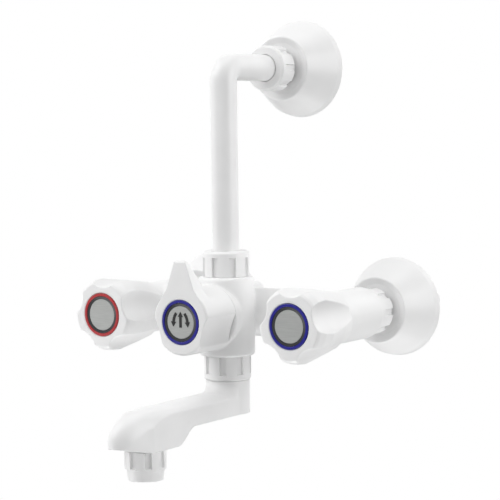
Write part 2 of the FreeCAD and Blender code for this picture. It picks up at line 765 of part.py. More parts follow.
# Diverter: a cup-shaped rotor with three windows, its bonnet and the pointer knob.
thread_r = s.chamber_r - s.running_play
bonnet_back = barrel_reach + s.window_r + s.window_rim + s.rotor_disc + s.rotor_gap
bonnet_end = boss_face + s.head_flange + s.bonnet_neck
bonnet_groove = bonnet_back + s.head_groove
bonnet_groove_end = bonnet_groove + s.ring_wire * 2.2
node(turned("diverter_bonnet", front, [
    (spindle_bore_r, bonnet_back), (thread_r, bonnet_back), (thread_r, bonnet_groove),
    (groove_floor_r, bonnet_groove), (groove_floor_r, bonnet_groove_end),
    (thread_r, bonnet_groove_end), (thread_r, boss_face), (s.head_flange_r, boss_face),
    (s.head_flange_r, boss_face + s.head_flange), (s.head_neck_r, boss_face + s.head_flange),
    (s.head_neck_r, bonnet_end), (spindle_bore_r, bonnet_end)]))
node(ring_wire("diverter_bonnet_ring", front.shifted(bonnet_groove + s.ring_wire * 1.1),
               groove_floor_r + s.ring_wire, s.ring_wire))

rotor_r = s.chamber_r - s.rotor_play
rotor_back = rotor_seat + s.seal_lift * 4
rotor_front = bonnet_back - s.rotor_gap
rotor_inner_r = rotor_r - s.rotor_wall
rotor_rings = [bonnet_back + s.spindle_ring_gap * k for k in (1, 2)]
rotor_clip = bonnet_end + s.seal_lift * 4
rotor_square = rotor_clip + s.clip + s.hub_gap
rotor_blank = turned("rotor_blank", front, spindle_outline(
    [(0, rotor_front - s.rotor_disc), (rotor_inner_r, rotor_front - s.rotor_disc),
     (rotor_inner_r, rotor_back), (rotor_r, rotor_back), (rotor_r, rotor_front)],
    rotor_front, rotor_rings, rotor_clip, rotor_square))
window = rod("rotor_window", Axis(0, 0, 0, "right"), s.window_r, s.chamber_r + s.collar)
windows = around("rotor_window_copy", window, front.shifted(barrel_reach),
                 spread(int(s.window_count.value), 90.0))
drive("diverter", front, diverter_face, rotor_square, cut("rotor_cup", rotor_blank, windows))
spindle_rings("diverter_spindle_rings", front, rotor_rings)
retaining_clip("diverter_spindle_clip", front.shifted(rotor_clip), s.spindle_r - s.clip_depth,
               s.clip_r, s.clip)


def prism(points, way):
    """A closed outline in the XZ or the YZ plane, drawn out far to both sides."""
    reach = s.pointer_tip.value * 5
    if way == "out":
        loop = [FreeCAD.Vector(x, 0, z) for x, z in points]
        pull = FreeCAD.Vector(0, -reach, 0)
    else:
        loop = [FreeCAD.Vector(-reach / 2, y, z) for y, z in points]
        pull = FreeCAD.Vector(reach, 0, 0)
    return Part.Face(Part.makePolygon(loop + loop[:1])).extrude(pull)


def pointer_shape():
    """The pointer: its outline from the front, thinned toward the tip as seen from the side."""
    face = -diverter_face.value
    right = [(s.pointer_half.value, s.pointer_tip.value),
             (s.pointer_root_half.value, s.pointer_root.value),
             (s.pointer_foot_half.value, s.pointer_foot.value), (s.pointer_foot_half.value, 0.0)]
    left = [(-x, z) for x, z in reversed(right)]
    bevel = s.pointer_bevel.value
    tip = s.pointer_tip.value
    heel = face + s.pointer_heel.value
    side = [(face, 0.0), (face, tip - bevel), (face + bevel, tip),
            (face + s.pointer_thick.value, tip - bevel / 2), (heel, s.pointer_heel_up.value),
            (heel + bevel, 0.0)]
    return prism(right + left, "out").common(prism(side, "right"))


dial = turned("diverter_dial", front, [
    (0, diverter_face - s.dial_length), (s.dial_r, diverter_face - s.dial_length),
    (s.dial_r, diverter_face - s.dial_edge), (s.dial_face_r, diverter_face),
    (0, diverter_face)])
turn = s.flat_turned.value
flats = fluted("diverter_flats", dial, front, diverter_face, s.dial_length, s.flat_r,
               s.flat_floor_r, [-turn, 180.0 + turn])
pointer = doc.addObject("Part::Feature", "pointer")
pointer.Shape = pointer_shape()
diverter_solid = fuse("diverter_knob_solid", [flats, pointer])
node(cut("diverter_knob", diverter_solid,
         knob_hollow("diverter_knob", front, diverter_face, s.dial_length, rotor_square)))
badge_face = cap("diverter", front, diverter_face)


def arrow_marks():
    """Three arrows: one straight up, and one curving down on each side."""
    reach = s.badge_r.value / 2
    width = reach * 0.3
    head = reach / 2
    thickness = s.mark.value

    def plate(points):
        loop = [FreeCAD.Vector(x, z, 0) for x, z in points]
        return Part.Face(Part.makePolygon(loop + loop[:1])).extrude(FreeCAD.Vector(0, 0, thickness))

    top = reach * 1.17
    foot = -reach * 0.62
    straight = plate([
        (-width / 2, foot), (width / 2, foot), (width / 2, top - head), (head / 2, top - head),
        (0, top), (-head / 2, top - head), (-width / 2, top - head)])
    marks = [straight]
    centre = FreeCAD.Vector(-reach * 0.77, -reach * 0.06, 0)
    bend_r = reach * 1.81
    start_angle = 38.6
    outer = Part.makeCylinder(bend_r + width / 2, thickness, centre, Z_AXIS, start_angle)
    inner = Part.makeCylinder(bend_r - width / 2, thickness, centre, Z_AXIS, start_angle)
    end_x = centre.x + bend_r
    side_half = head * 0.66
    head_piece = plate([(end_x - side_half, centre.y), (end_x + side_half, centre.y),
                        (end_x, centre.y - head)])
    right = outer.cut(inner).fuse(head_piece).removeSplitter()
    marks.append(right)
    marks.append(right.mirror(FreeCAD.Vector(), X_AXIS))
    return Part.makeCompound(marks)


node(held_shape("diverter_arrows", arrow_marks(), front.shifted(badge_face)))

# Spout: a post that turns in the barrel's foot, a level arm and a rounded bulb at its end.
union_nut("spout_nut", drop.shifted(s.barrel_foot), s.spout_nut, s.spout_nut_r,
          s.spout_thread_r + s.union_play, s.neck_r + s.pipe_play, 180.0 / s.slot_count.value)
ring_back = spout_spigot_end + s.face_gap / 2
ring_front = ring_back + s.swivel_ring
wire = s.neck_wire
neck_groove_r = s.neck_r - wire * 2
clip_groove_r = s.neck_r - s.neck_groove
neck_starts = [neck_top + s.neck_land * 2 + wire * 5 * k for k in (0, 1)]
neck_points = [(0, neck_top + s.neck_land), (s.neck_r, neck_top + s.neck_land)]
for start in neck_starts:
    neck_points += [(s.neck_r, start), (neck_groove_r, start), (neck_groove_r, start + wire * 2.2),
                    (s.neck_r, start + wire * 2.2)]
neck_points += [(s.neck_r, ring_back), (clip_groove_r, ring_back), (clip_groove_r, ring_front),
                (s.neck_r, ring_front), (s.neck_r, post_top), (s.post_r, post_top),
                (s.post_r, arm_under), (0, arm_under)]
post = turned("spout_post", drop, neck_points)


def arch(reach, half, top, edge, under):
    """One section across the arm: flat underside, upright sides and an arched roof."""
    left_foot = FreeCAD.Vector(-half, -reach, -under)
    right_foot = FreeCAD.Vector(half, -reach, -under)
    right_edge = FreeCAD.Vector(half, -reach, -edge)
    left_edge = FreeCAD.Vector(-half, -reach, -edge)
    crown = FreeCAD.Vector(0, -reach, -top)
    bulge = 0.72
    right_mid = FreeCAD.Vector(half * bulge, -reach, -(top + (edge - top) * (1 - bulge) * 1.05))
    left_mid = FreeCAD.Vector(-right_mid.x, right_mid.y, right_mid.z)
    roof = Part.BSplineCurve()
    roof.interpolate([right_edge, right_mid, crown, left_mid, left_edge])
    return Part.Wire([Part.makeLine(left_foot, right_foot), Part.makeLine(right_foot, right_edge),
                      roof.toShape(), Part.makeLine(left_edge, left_foot)])


def arm_shape():
    """The arm and its bulb: a straight length, a loft that deepens and one round the nose.

    The two lofts meet in an upright crease at the end of the arm's flat sides.
    """
    half = s.arm_half.value
    top = arm_top.value
    edge = arm_edge.value
    under = arm_under.value
    deepening = bulb_under.value - under
    back = bulb_back.value
    run = s.bulb_run.value
    nose = nose_reach.value
    round_start = nose - s.nose_round.value
    fall = s.nose_fall.value
    joint = back - run * 0.6
    straight_section = Part.Face(arch(barrel_reach.value, half, top, edge, under))
    straight = straight_section.extrude(FreeCAD.Vector(0, barrel_reach.value - joint, 0))

    def section(reach, round_off):
        share = min(1.0, max(0.0, (reach - back) / run))
        low = under + deepening * share * share * (3 - 2 * share)
        drop_here = fall * (1 - round_off)
        past = max(0.0, reach - round_start) / s.nose_round.value
        near = min(1.0, max(0.0, (reach - round_start + s.crease_lead.value) / s.crease_lead.value))
        narrow = 1 - 0.5 * past * (1 - past) ** 2
        return arch(reach, half * round_off * narrow, top + drop_here,
                    edge + s.crease_fall.value * near ** 1.5 + drop_here * 0.5,
                    low - s.nose_lift.value * (1 - round_off))

    steps = 15
    deepen = [section(joint + (round_start - joint) * k / steps, 1.0) for k in range(steps + 1)]
    turns = 8
    around_nose = []
    for k in range(turns + 1):
        angle = math.radians(80.0) * k / turns
        around_nose.append(section(round_start + s.nose_round.value * math.sin(angle), math.cos(angle)))
    bulb = Part.makeLoft(deepen, True, False)
    nose_end = Part.makeLoft(around_nose, True, False)
    return straight.multiFuse([bulb, nose_end]).removeSplitter()


arm = doc.addObject("Part::Feature", "spout_arm")
arm.Shape = arm_shape()
nozzle_axis = Axis(0, -nozzle_reach, 0, "down")
spigot_end = bulb_under + s.spigot
nozzle_post = rod("nozzle_spigot", nozzle_axis.shifted(channel_drop), s.spigot_r,
                  spigot_end - channel_drop)
spout_solid = fuse("spout_solid", [post, arm, nozzle_post])
spout_bores = [
    rod("spout_down", drop.shifted(neck_top), s.port_r, channel_drop - neck_top),
    rod("spout_channel", front.shifted(barrel_reach - s.channel_r), s.channel_r,
        nozzle_reach - barrel_reach + s.channel_r),
    rod("spout_outlet", nozzle_axis.shifted(channel_drop - s.channel_r / 2), s.spigot_bore_r,
        spigot_end - channel_drop + s.channel_r),
]
place(spout_bores[1], [ORIGIN, s.channel_r - barrel_reach, -channel_drop], RODS["out"])
node(cut("spout", spout_solid, spout_bores))
neck_rings = [ring_wire(f"spout_neck_ring_{number}", drop.shifted(start + wire * 1.1),
                        s.neck_r - wire, wire) for number, start in enumerate(neck_starts, start=1)]
node(group("spout_neck_rings", neck_rings))
retaining_clip("spout_swivel_ring", drop.shifted(ring_back), clip_groove_r, s.swivel_ring_r,
               s.swivel_ring)

# Nozzle: ribbed band and tapered tip in one, with a washer and a drilled flow disc inside.
nozzle_top = bulb_under + s.pipe_play
band_end = nozzle_top + s.nozzle_band
tip_end = band_end + s.nozzle_tip
washer_top = spigot_end + s.seal_lift
disc_top = washer_top + s.washer / 2
disc_end = disc_top + s.flow_disc
lip_r = s.nozzle_bore_r - s.nozzle_lip
nozzle_blank = turned("nozzle_blank", nozzle_axis, [
    (s.spigot_r + s.union_play, nozzle_top), (s.nozzle_r, nozzle_top), (s.nozzle_r, band_end),
    (s.nozzle_tip_r, band_end), (s.nozzle_end_r, tip_end), (lip_r, tip_end), (lip_r, disc_end),
    (s.nozzle_bore_r, disc_end), (s.nozzle_bore_r, washer_top),
    (s.spigot_r + s.union_play, washer_top)])
node(cut("nozzle_nut", nozzle_blank, slots("nozzle_nut", nozzle_axis.shifted(nozzle_top), s.nozzle_r,
                                           s.nozzle_band - s.nozzle_slot_land)))
washer("nozzle_washer", nozzle_axis.shifted(washer_top), s.spigot_bore_r, s.nozzle_bore_r,
       s.washer / 2)


def flow_disc(radius, thickness, hole_r, pitch):
    """A round disc drilled on a triangular grid."""
    disc = Part.makeCylinder(radius, thickness)
    rows = int(radius / pitch) + 1
    holes = []
    for row in range(-rows, rows + 1):
        for column_number in range(-rows, rows + 1):
            x = (column_number + row % 2 / 2) * pitch
            y = row * pitch * math.sqrt(3) / 2
            if math.hypot(x, y) + hole_r * 1.5 < radius:
                holes.append(Part.makeCylinder(hole_r, thickness, FreeCAD.Vector(x, y, 0)))
    return disc.cut(Part.makeCompound(holes))


insert_r = s.nozzle_bore_r.value
node(held_shape("flow_straightener", flow_disc(insert_r, s.flow_disc.value, s.flow_hole_r.value,
                                               s.flow_pitch.value), nozzle_axis.shifted(disc_top)))

doc.recompute()

# Every object has to be sound, and every piece a valid solid, before any file is written.
for item in doc.Objects:
    for fault in ("Invalid", "Error"):
        if fault in item.State:
            raise RuntimeError(f"{item.Label} is marked {fault}")
for label, piece in nodes.items():
    shape = piece.Shape
    if shape.isNull() or not shape.isValid() or not shape.Solids:
        raise RuntimeError(f"{label} has no valid solid")

os.makedirs("parts", exist_ok=True)
for label, piece in nodes.items():
    piece.Shape.exportStep(f"parts/{label}.step")
print(len(nodes), "nodes written")
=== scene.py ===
"""Dresses the wall mounted mixer tap around its CAD frame, with finishes, lights and a camera."""

import json
import math
from functools import cache

import bmesh
import bpy
from bpy.props import FloatProperty, FloatVectorProperty, IntProperty, PointerProperty
from mathutils import Matrix, Vector


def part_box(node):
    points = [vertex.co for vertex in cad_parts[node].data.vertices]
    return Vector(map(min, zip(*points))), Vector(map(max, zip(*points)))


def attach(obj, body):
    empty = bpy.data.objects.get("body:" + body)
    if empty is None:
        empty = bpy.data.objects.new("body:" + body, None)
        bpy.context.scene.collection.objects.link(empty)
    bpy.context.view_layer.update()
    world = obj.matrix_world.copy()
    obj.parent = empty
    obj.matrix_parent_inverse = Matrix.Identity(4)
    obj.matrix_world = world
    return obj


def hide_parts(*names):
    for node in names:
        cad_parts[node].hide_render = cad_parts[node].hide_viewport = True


bl_info = {
    "name": "Wall Mixer Tap",
    "version": (1, 0, 0),
    "blender": (4, 5, 0),
    "location": "View3D > Sidebar > Mixer Tap",
    "description": "Builds the pieces of a wall mounted mixer tap with a riser and a swivel spout",
    "category": "Add Mesh",
}

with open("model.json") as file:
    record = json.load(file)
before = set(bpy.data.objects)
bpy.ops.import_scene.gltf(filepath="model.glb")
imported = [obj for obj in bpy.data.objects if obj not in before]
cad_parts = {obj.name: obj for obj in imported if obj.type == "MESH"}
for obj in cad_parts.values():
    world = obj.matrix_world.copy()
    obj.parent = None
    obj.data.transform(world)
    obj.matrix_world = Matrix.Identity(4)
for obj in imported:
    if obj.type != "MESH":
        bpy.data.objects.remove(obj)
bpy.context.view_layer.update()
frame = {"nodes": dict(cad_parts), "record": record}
NODES = frame["nodes"]
SLOTS = {part["node"]: part["material_slot"] for part in frame["record"]["subparts"]}
BODIES = {node: body for body, members in frame["record"]["behaviour"]["bodies"].items()
          for node in members}

MM = 0.001
MERGE = 0.002 * MM
OUT, DOWN, UP = (0, -1, 0), (0, 0, -1), (0, 0, 1)
INLETS = ("hot", "cold")
WALL_SIDES = (*INLETS, "outlet")
CAPPED = (*INLETS, "diverter")
# Roundings that many edges share
FINE, CRISP, SOFT, ROUND = 0.2 * MM, 0.3 * MM, 0.4 * MM, 0.5 * MM
# How far the spout's nut and nozzle reach past their nodes to close a seam
SEAM = 0.2 * MM
# Plain stretch beside an arc, which keeps the flat next to it flat
SUPPORT = 0.15 * MM
# The most of the shorter side beside a corner that its rounding takes
ROUND_SHARE = 0.45
ARC_STEPS = 5
TURN_STEPS = 96
LEG_STEPS = 64
QUARTER = math.pi / 2
NEARLY_FLAT = math.radians(88)
SHARP = math.radians(42)


def length(name, description, millimetres):
    """A size of the tap."""
    return FloatProperty(name=name, description=description, default=millimetres * MM,
                         unit="LENGTH", precision=5)


def colour(name, description, default):
    """A finish's own colour."""
    return FloatVectorProperty(name=name, description=description, default=default,
                               subtype="COLOR", min=0.0, max=1.0)


def angle(name, description, degrees):
    """An angle that is given in degrees."""
    return FloatProperty(name=name, description=description, default=math.radians(degrees),
                         subtype="ANGLE")


def power(name, place, default):
    """The strength of the lamp in this place."""
    return FloatProperty(name=name + " lamp", description="Strength of the lamp " + place,
                         default=default, min=0.0, unit="POWER")


def share(name, description, default):
    """A share from 0 to 1."""
    return FloatProperty(name=name, description=description, default=default, min=0.0, max=1.0,
                         subtype="FACTOR")


class TapSizes(bpy.types.PropertyGroup):
    """Sizes that the boxes of the CAD nodes don't give."""

    flange_band: length("Flange band", "Height of the flange's rim band", 5.0)
    flange_taper: length("Flange taper", "How far the rim band narrows", 0.9)
    flange_lip: length("Flange lip", "Radius of the lip around the dish", 22.2)
    flange_dish: length("Flange dish", "Radius of the dish's floor", 17.6)
    flange_sink: length("Flange sink", "How deep the dish lies under the lip", 2.0)
    flange_wall: length("Flange wall", "Thickness of the flange's shell", 2.4)
    shank: length("Leg shank", "Radius of the leg's smooth shank", 10.1)
    leg_bore: length("Leg bore", "Radius of the leg's bore", 6.2)
    thread_crest: length("Thread crest", "Radius over the leg's thread", 10.48)
    thread_depth: length("Thread depth", "Height of the leg's thread", 0.9)
    thread_pitch: length("Thread pitch", "Way along the leg from turn to turn", 1.81)
    thread_lead: length("Thread lead", "Length of the bevel before the thread", 1.2)
    tip_radius: length("Tip radius", "Radius of an inlet leg's plain tip", 7.3)
    tip_length: length("Tip length", "Length of an inlet leg's plain tip", 14.0)
    nut_thread: length("Nut bore", "Radius of a union nut's threaded bore", 12.72)
    nut_hole: length("Nut hole", "Radius of the hole that a pipe leaves through", 9.3)
    spout_nut_thread: length("Spout nut bore", "Radius of the spout nut's threaded bore", 13.02)
    spout_nut_hole: length("Spout nut hole", "Radius of the hole for the spout's neck", 10.5)
    nut_end: length("Nut end", "Thickness of a nut's closed end", 2.6)
    nut_bevel: length("Nut bevel", "Bevel of a nut's closed end", 1.3)
    slot_count: IntProperty(name="Slots", description="Slots around a nut", default=8, min=3,
                            subtype="UNSIGNED")
    slot_width: length("Slot width", "Width of a nut's slot", 4.4)
    slot_depth: length("Slot depth", "Depth of a nut's slot", 1.7)
    slot_land: length("Slot land", "Plain length past the slots of a nut", 4.4)
    slot_ease: length("Slot ease", "Width of the eased wall of a slot", 0.35)
    riser_nut_turn: angle("Riser nut turn", "Angle of the riser nut's first slot", 6.0)
    pipe_radius: length("Pipe radius", "Radius of the riser", 9.0)
    pipe_bore: length("Pipe bore", "Radius of the riser's bore", 6.5)
    pipe_bend: length("Pipe bend", "Radius of the riser's bend", 10.0)
    collar: length("Collar", "Thickness of a pipe's collar", 2.0)
    index_width: length("Index width", "Width of the coloured ring", 1.9)
    badge_radius: length("Badge radius", "Radius of the grey badge", 10.6)
    badge_sink: length("Badge sink", "How far the badge lies under the bezel", 0.3)
    arrow_width: length("Arrow width", "Width of an arrow's stroke", 1.9)
    arrow_head: length("Arrow head", "Length of an arrow's head", 3.3)
    body_voxel: length("Body voxel", "Fineness of the body moulding", 0.8)
    knob_voxel: length("Knob voxel", "Fineness of a knob moulding", 0.45)
    spout_voxel: length("Spout voxel", "Fineness of the spout moulding", 0.55)
    post_radius: length("Post radius", "Radius of the spout's post", 14.7)
    post_fillet: length("Post fillet", "Radius of the curve from the post to the arm", 6.8)
    arm_top: length("Arm top", "Depth of the arm's crown under the inlets", 50.4)
    arm_edge: length("Arm edge", "Depth of the arm's upper edges", 54.0)
    arm_half: length("Arm half", "Half the arm's width", 13.5)
    bulb_cut: length("Bulb cut", "Way from the wall to where the bulb begins", 176.0)
    nose_start: length("Nose start", "Way from the wall to where the nose rounds", 195.3)
    nose_round: length("Nose round", "Length of the rounded nose", 24.5)
    nose_fall: length("Nose fall", "How far the crown falls around the nose", 18.0)
    nose_lift: length("Nose lift", "How far the underside rises to the nose", 4.8)
    crease_lead: length("Crease lead", "Length over which the upper edge falls", 17.0)
    crease_fall: length("Crease fall", "How far the upper edge falls before the nose", 6.0)
    spigot: length("Spigot", "Radius of the spigot inside the nozzle", 10.4)
    nozzle_bore: length("Nozzle bore", "Radius inside the nozzle", 9.7)
    nozzle_mouth: length("Nozzle mouth", "Radius of the nozzle's mouth", 8.5)
    nozzle_thread: length("Nozzle thread", "Radius of the nozzle's threaded bore", 10.52)
    nozzle_tip: length("Nozzle tip", "Height of the nozzle's tapered tip", 7.4)
    nozzle_tip_radius: length("Nozzle tip radius", "Radius at the tip's top", 12.1)
    nozzle_end_radius: length("Nozzle end radius", "Radius at the tip's end", 11.2)
    band_land: length("Band land", "Plain length past the slots of the nozzle", 1.4)
    flow_hole: length("Flow hole", "Radius of a hole in the flow disc", 1.0)
    flow_pitch: length("Flow pitch", "Way between holes in the flow disc", 2.9)


class TapColours(bpy.types.PropertyGroup):
    """Colours of the finishes."""

    white: colour("White", "Moulded plastic that shows", (0.86, 0.86, 0.86))
    natural: colour("Natural", "Plain plastic inside the valves", (0.72, 0.71, 0.67))
    badge: colour("Badge", "Satin disc in each knob", (0.45, 0.46, 0.45))
    bezel: colour("Bezel", "Dark ring around each badge", (0.045, 0.046, 0.05))
    mark: colour("Mark", "Printed arrows", (0.012, 0.012, 0.012))
    hot: colour("Hot", "Index ring of the hot side", (0.44, 0.03, 0.035))
    cold: colour("Cold", "Index ring of the cold side and of the diverter", (0.012, 0.010, 0.26))
    rubber: colour("Rubber", "Seals and washers", (0.022, 0.022, 0.022))
    steel: colour("Steel", "Screws and spring clips", (0.62, 0.62, 0.61))


class TapStage(bpy.types.PropertyGroup):
    """Where the camera and the lights stand."""

    azimuth: angle("Azimuth", "Turn of the camera around the tap", 34.364)
    elevation: angle("Elevation", "Height of the camera as an angle", 4.226)
    roll: angle("Roll", "Lean of the camera", -0.847)
    distance: length("Distance", "From the camera to its target", 1188.96)
    lens: FloatProperty(name="Lens", description="Focal length in millimetres", default=125.03,
                        unit="CAMERA")
    target: FloatVectorProperty(name="Target", description="Point at the middle of the picture",
                                default=(-5.44 * MM, -60.0 * MM, 40.459 * MM),
                                subtype="XYZ", unit="LENGTH")
    floor: length("Floor", "Height of the floor", -1900.0)
    lamp_distance: length("Lamp distance", "From a lamp to the camera's target", 1700.0)
    key: power("Key", "high on the left", 17.5)
    fill: power("Fill", "by the camera", 2.2)
    side: power("Side", "on the right", 13.2)
    back: power("Back", "behind on the right", 4.9)
    top: power("Top", "overhead", 6.2)
    left: power("Left", "level on the left", 3.6)
    low_left: power("Low left", "low on the left", 4.6)
    below: power("Below", "underneath", 24.0)
    sky: share("Sky", "Light that comes from all around", 0.34)
    mirrored: share("Mirrored", "Brightness of the front of the room in reflections", 0.2)


class Seat:
    """The centre line through a CAD node, and the node's two ends and radius along it."""

    def __init__(self, node, along):
        low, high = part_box(node)
        centre = (low + high) / 2
        self.along = Vector(along)
        self.start = centre - self.along * self.along.dot(centre)
        self.near, self.far = sorted(self.along.dot(corner) for corner in (low, high))
        self.radius = (high.x - low.x) / 2

    def at(self, distance, radius, turn):
        """The point at this way along, this far out and at this angle."""
        side = Vector((1, 0, 0))
        third = self.along.cross(side)
        across = math.cos(turn) * side + math.sin(turn) * third
        return self.start + self.along * distance + across * radius


def rounded(corners):
    """A closed outline whose (along, radius, rounding, weight) corners are made arcs."""
    outline = []
    for number, corner in enumerate(corners):
        along, radius, rounding, weight = (*corner, 0.0, 0.0)[:4]
        here = Vector((along, radius))
        before = Vector(corners[number - 1][:2]) - here
        after = Vector(corners[(number + 1) % len(corners)][:2]) - here
        room = min(before.length, after.length)
        half = before.angle(after, math.pi) / 2
        if rounding <= 0 or room < MERGE or half > NEARLY_FLAT:
            outline.append((*here, weight))
            continue
        before.normalize()
        after.normalize()
        back_off = min(rounding / math.tan(half), room * ROUND_SHARE)
        centre = here + (before + after).normalized() * (back_off / math.cos(half))
        first = here + before * back_off - centre
        swing = first.angle_signed(here + after * back_off - centre)
        arc = [centre + Matrix.Rotation(-swing * step / ARC_STEPS, 2) @ first
               for step in range(ARC_STEPS + 1)]
        if room - back_off * 2 > SUPPORT * 3:
            arc = [arc[0] + before * SUPPORT, *arc, arc[-1] + after * SUPPORT]
        outline += [(*point, weight) for point in arc]
    return outline


def add_object(name, data):
    """A new object with this mesh, lamp or camera, in the scene."""
    obj = bpy.data.objects.new(name, data)
    bpy.context.scene.collection.objects.link(obj)
    return obj


def mesh_of(name, points, faces, edges=()):
    """A mesh from points, faces and edges."""
    mesh = bpy.data.meshes.new(name)
    mesh.from_pydata(points, edges, faces)
    mesh.update()
    return mesh


def clean(mesh):
    """Merges doubles, turns the faces outwards and shades them smooth between sharp edges."""
    work = bmesh.new()
    work.from_mesh(mesh)
    bmesh.ops.remove_doubles(work, verts=work.verts, dist=MERGE)
    bmesh.ops.dissolve_degenerate(work, edges=work.edges, dist=MERGE)
    bmesh.ops.recalc_face_normals(work, faces=work.faces)
    for face in work.faces:
        face.smooth = True
    work.to_mesh(mesh)
    work.free()
    mesh.set_sharp_from_angle(angle=SHARP)
    return mesh


def ring_faces(rows, columns, closed=False):
    """Quads over rows of rings; closed joins the last row to the first."""
    faces = []
    for row in range(rows if closed else rows - 1):
        following = (row + 1) % rows
        for column in range(columns):
            beside = (column + 1) % columns
            faces.append((row * columns + column, row * columns + beside,
                          following * columns + beside, following * columns + column))
    return faces


def lofted(name, rings):
    """A mesh of a closed solid that is lofted through rings with as many points."""
    columns = len(rings[0])
    points = [point for ring in rings for point in ring]
    ends = [range(columns), range(len(points) - columns, len(points))]
    faces = ring_faces(len(rings), columns) + [tuple(end) for end in ends]
    return clean(mesh_of(name, points, faces))


def turned(name, seat, corners, steps=TURN_STEPS):
    """A mesh turned around a centre line from a closed outline of corners."""
    outline = rounded(corners)
    points = [seat.at(along, radius, math.tau * step / steps)
              for step in range(steps) for along, radius, _ in outline]
    return clean(mesh_of(name, points, ring_faces(steps, len(outline), closed=True)))


def joined(name, *meshes):
    """Copies of meshes as one mesh, with doubles merged."""
    work = bmesh.new()
    for mesh in meshes:
        work.from_mesh(mesh)
    bmesh.ops.remove_doubles(work, verts=work.verts, dist=MERGE)
    mesh = bpy.data.meshes.new(name)
    work.to_mesh(mesh)
    work.free()
    return mesh


def settled(obj):
    """Turns an object's modifiers into a plain mesh."""
    bpy.context.view_layer.update()
    shown = obj.evaluated_get(bpy.context.evaluated_depsgraph_get())
    mesh = bpy.data.meshes.new_from_object(shown)
    mesh.name = obj.name
    obj.modifiers.clear()
    obj.data = mesh
    return obj


def moulded(name, voxel, passes, *meshes):
    """Meshes as one moulding whose edges and corners are eased."""
    obj = add_object(name, joined(name, *meshes))
    remesh = obj.modifiers.new("Even faces", "REMESH")
    remesh.mode = "VOXEL"
    remesh.voxel_size = voxel
    remesh.use_smooth_shade = True
    easing = obj.modifiers.new("Eased edges", "SMOOTH")
    easing.factor = 0.5
    easing.iterations = passes
    return settled(obj)


class Tree:
    """Nodes that are made, set and linked by the names of their inputs."""

    def __init__(self, group):
        self.group = group

    def feed(self, node, **values):
        """Links or sets a node's inputs, by name or, where inputs share a name, by number."""
        for label, value in values.items():
            number = label.removeprefix("input_")
            socket = node.inputs[int(number) if number.isdigit() else label.replace("_", " ")]
            if isinstance(value, bpy.types.NodeSocket):
                self.group.links.new(value, socket)
            else:
                socket.default_value = value

    def node(self, kind, settings=None, output=0, **values):
        """One output of a new node with these settings and inputs."""
        node = self.group.nodes.new(kind)
        for key, setting in (settings or {}).items():
            setattr(node, key, setting)
        self.feed(node, **values)
        return node.outputs[output]

    def maths(self, operation, first, second=0.0):
        """The result of a sum on two numbers."""
        return self.node("ShaderNodeMath", {"operation": operation}, input_0=first,
                         input_1=second)


class PieceTree(Tree):
    """A Geometry Nodes tree in the making, with its named inputs."""

    def __init__(self, name, **inputs):
        super().__init__(bpy.data.node_groups.new(name, "GeometryNodeTree"))
        sockets = self.group.interface
        for label, kind in {"Geometry": "Geometry", **inputs, "Material": "Material"}.items():
            sockets.new_socket(label, in_out="INPUT", socket_type="NodeSocket" + kind)
        sockets.new_socket("Geometry", in_out="OUTPUT", socket_type="NodeSocketGeometry")
        self.value = self.group.nodes.new("NodeGroupInput").outputs

    def join(self, *parts):
        """Several geometries as one."""
        whole = self.group.nodes.new("GeometryNodeJoinGeometry")
        for part in parts:
            self.group.links.new(part, whole.inputs[0])
        return whole.outputs[0]

    def finish(self, geometry):
        """Ends the tree: real geometry, merged and smooth, with its material."""
        real = self.node("GeometryNodeRealizeInstances", Geometry=geometry)
        whole = self.node("GeometryNodeMergeByDistance", Geometry=real, Distance=MERGE)
        smooth = self.node("GeometryNodeSetShadeSmooth", Geometry=whole)
        painted = self.node("GeometryNodeSetMaterial", Geometry=smooth,
                            Material=self.value["Material"])
        self.group.links.new(painted, self.group.nodes.new("NodeGroupOutput").inputs[0])
        return self.group


def apply_tree(obj, node, group, **values):
    """Runs a tree on an object in its CAD node's finish and keeps the result as a mesh."""
    modifier = obj.modifiers.new(group.name, "NODES")
    modifier.node_group = group
    values["Material"] = finish_of(SLOTS[node])
    for item in group.interface.items_tree:
        if item.in_out == "INPUT" and item.name in values:
            modifier[item.identifier] = values[item.name]
    return settled(obj)


@cache
def sector_tree():
    """Sectors set side by side around an axis until they close."""
    tree = PieceTree("Repeated sector", Centre="Vector", Axis="Vector", Count="Int")
    centre, count = tree.value["Centre"], tree.value["Count"]
    away = tree.node("ShaderNodeVectorMath", {"operation": "SCALE"}, input_0=centre, Scale=-1.0)
    local = tree.node("GeometryNodeTransform", Geometry=tree.value["Geometry"], Translation=away)
    points = tree.node("GeometryNodePoints", Count=count, Position=centre)
    step = tree.maths("DIVIDE", math.tau, count)
    turn = tree.maths("MULTIPLY", tree.node("GeometryNodeInputIndex"), step)
    rotation = tree.node("FunctionNodeAxisAngleToRotation", Axis=tree.value["Axis"], Angle=turn)
    return tree.finish(tree.node("GeometryNodeInstanceOnPoints", Points=points, Instance=local,
                                 Rotation=rotation))


@cache
def pipe_tree():
    """A pipe along a path whose corners are bent to a radius: its outside and its bore."""
    tree = PieceTree("Bent pipe", Bend="Float", Outside="Float", Bore="Float", Sides="Int")
    path = tree.node("GeometryNodeMeshToCurve", Mesh=tree.value["Geometry"])
    bent = tree.node("GeometryNodeFilletCurve", {"mode": "POLY"}, Curve=path, Count=24,
                     Radius=tree.value["Bend"])
    skins = []
    for radius in ("Outside", "Bore"):
        ring = tree.node("GeometryNodeCurvePrimitiveCircle", Resolution=tree.value["Sides"],
                         Radius=tree.value[radius])
        skins.append(tree.node("GeometryNodeCurveToMesh", Curve=bent, Profile_Curve=ring))
    return tree.finish(tree.join(*skins))


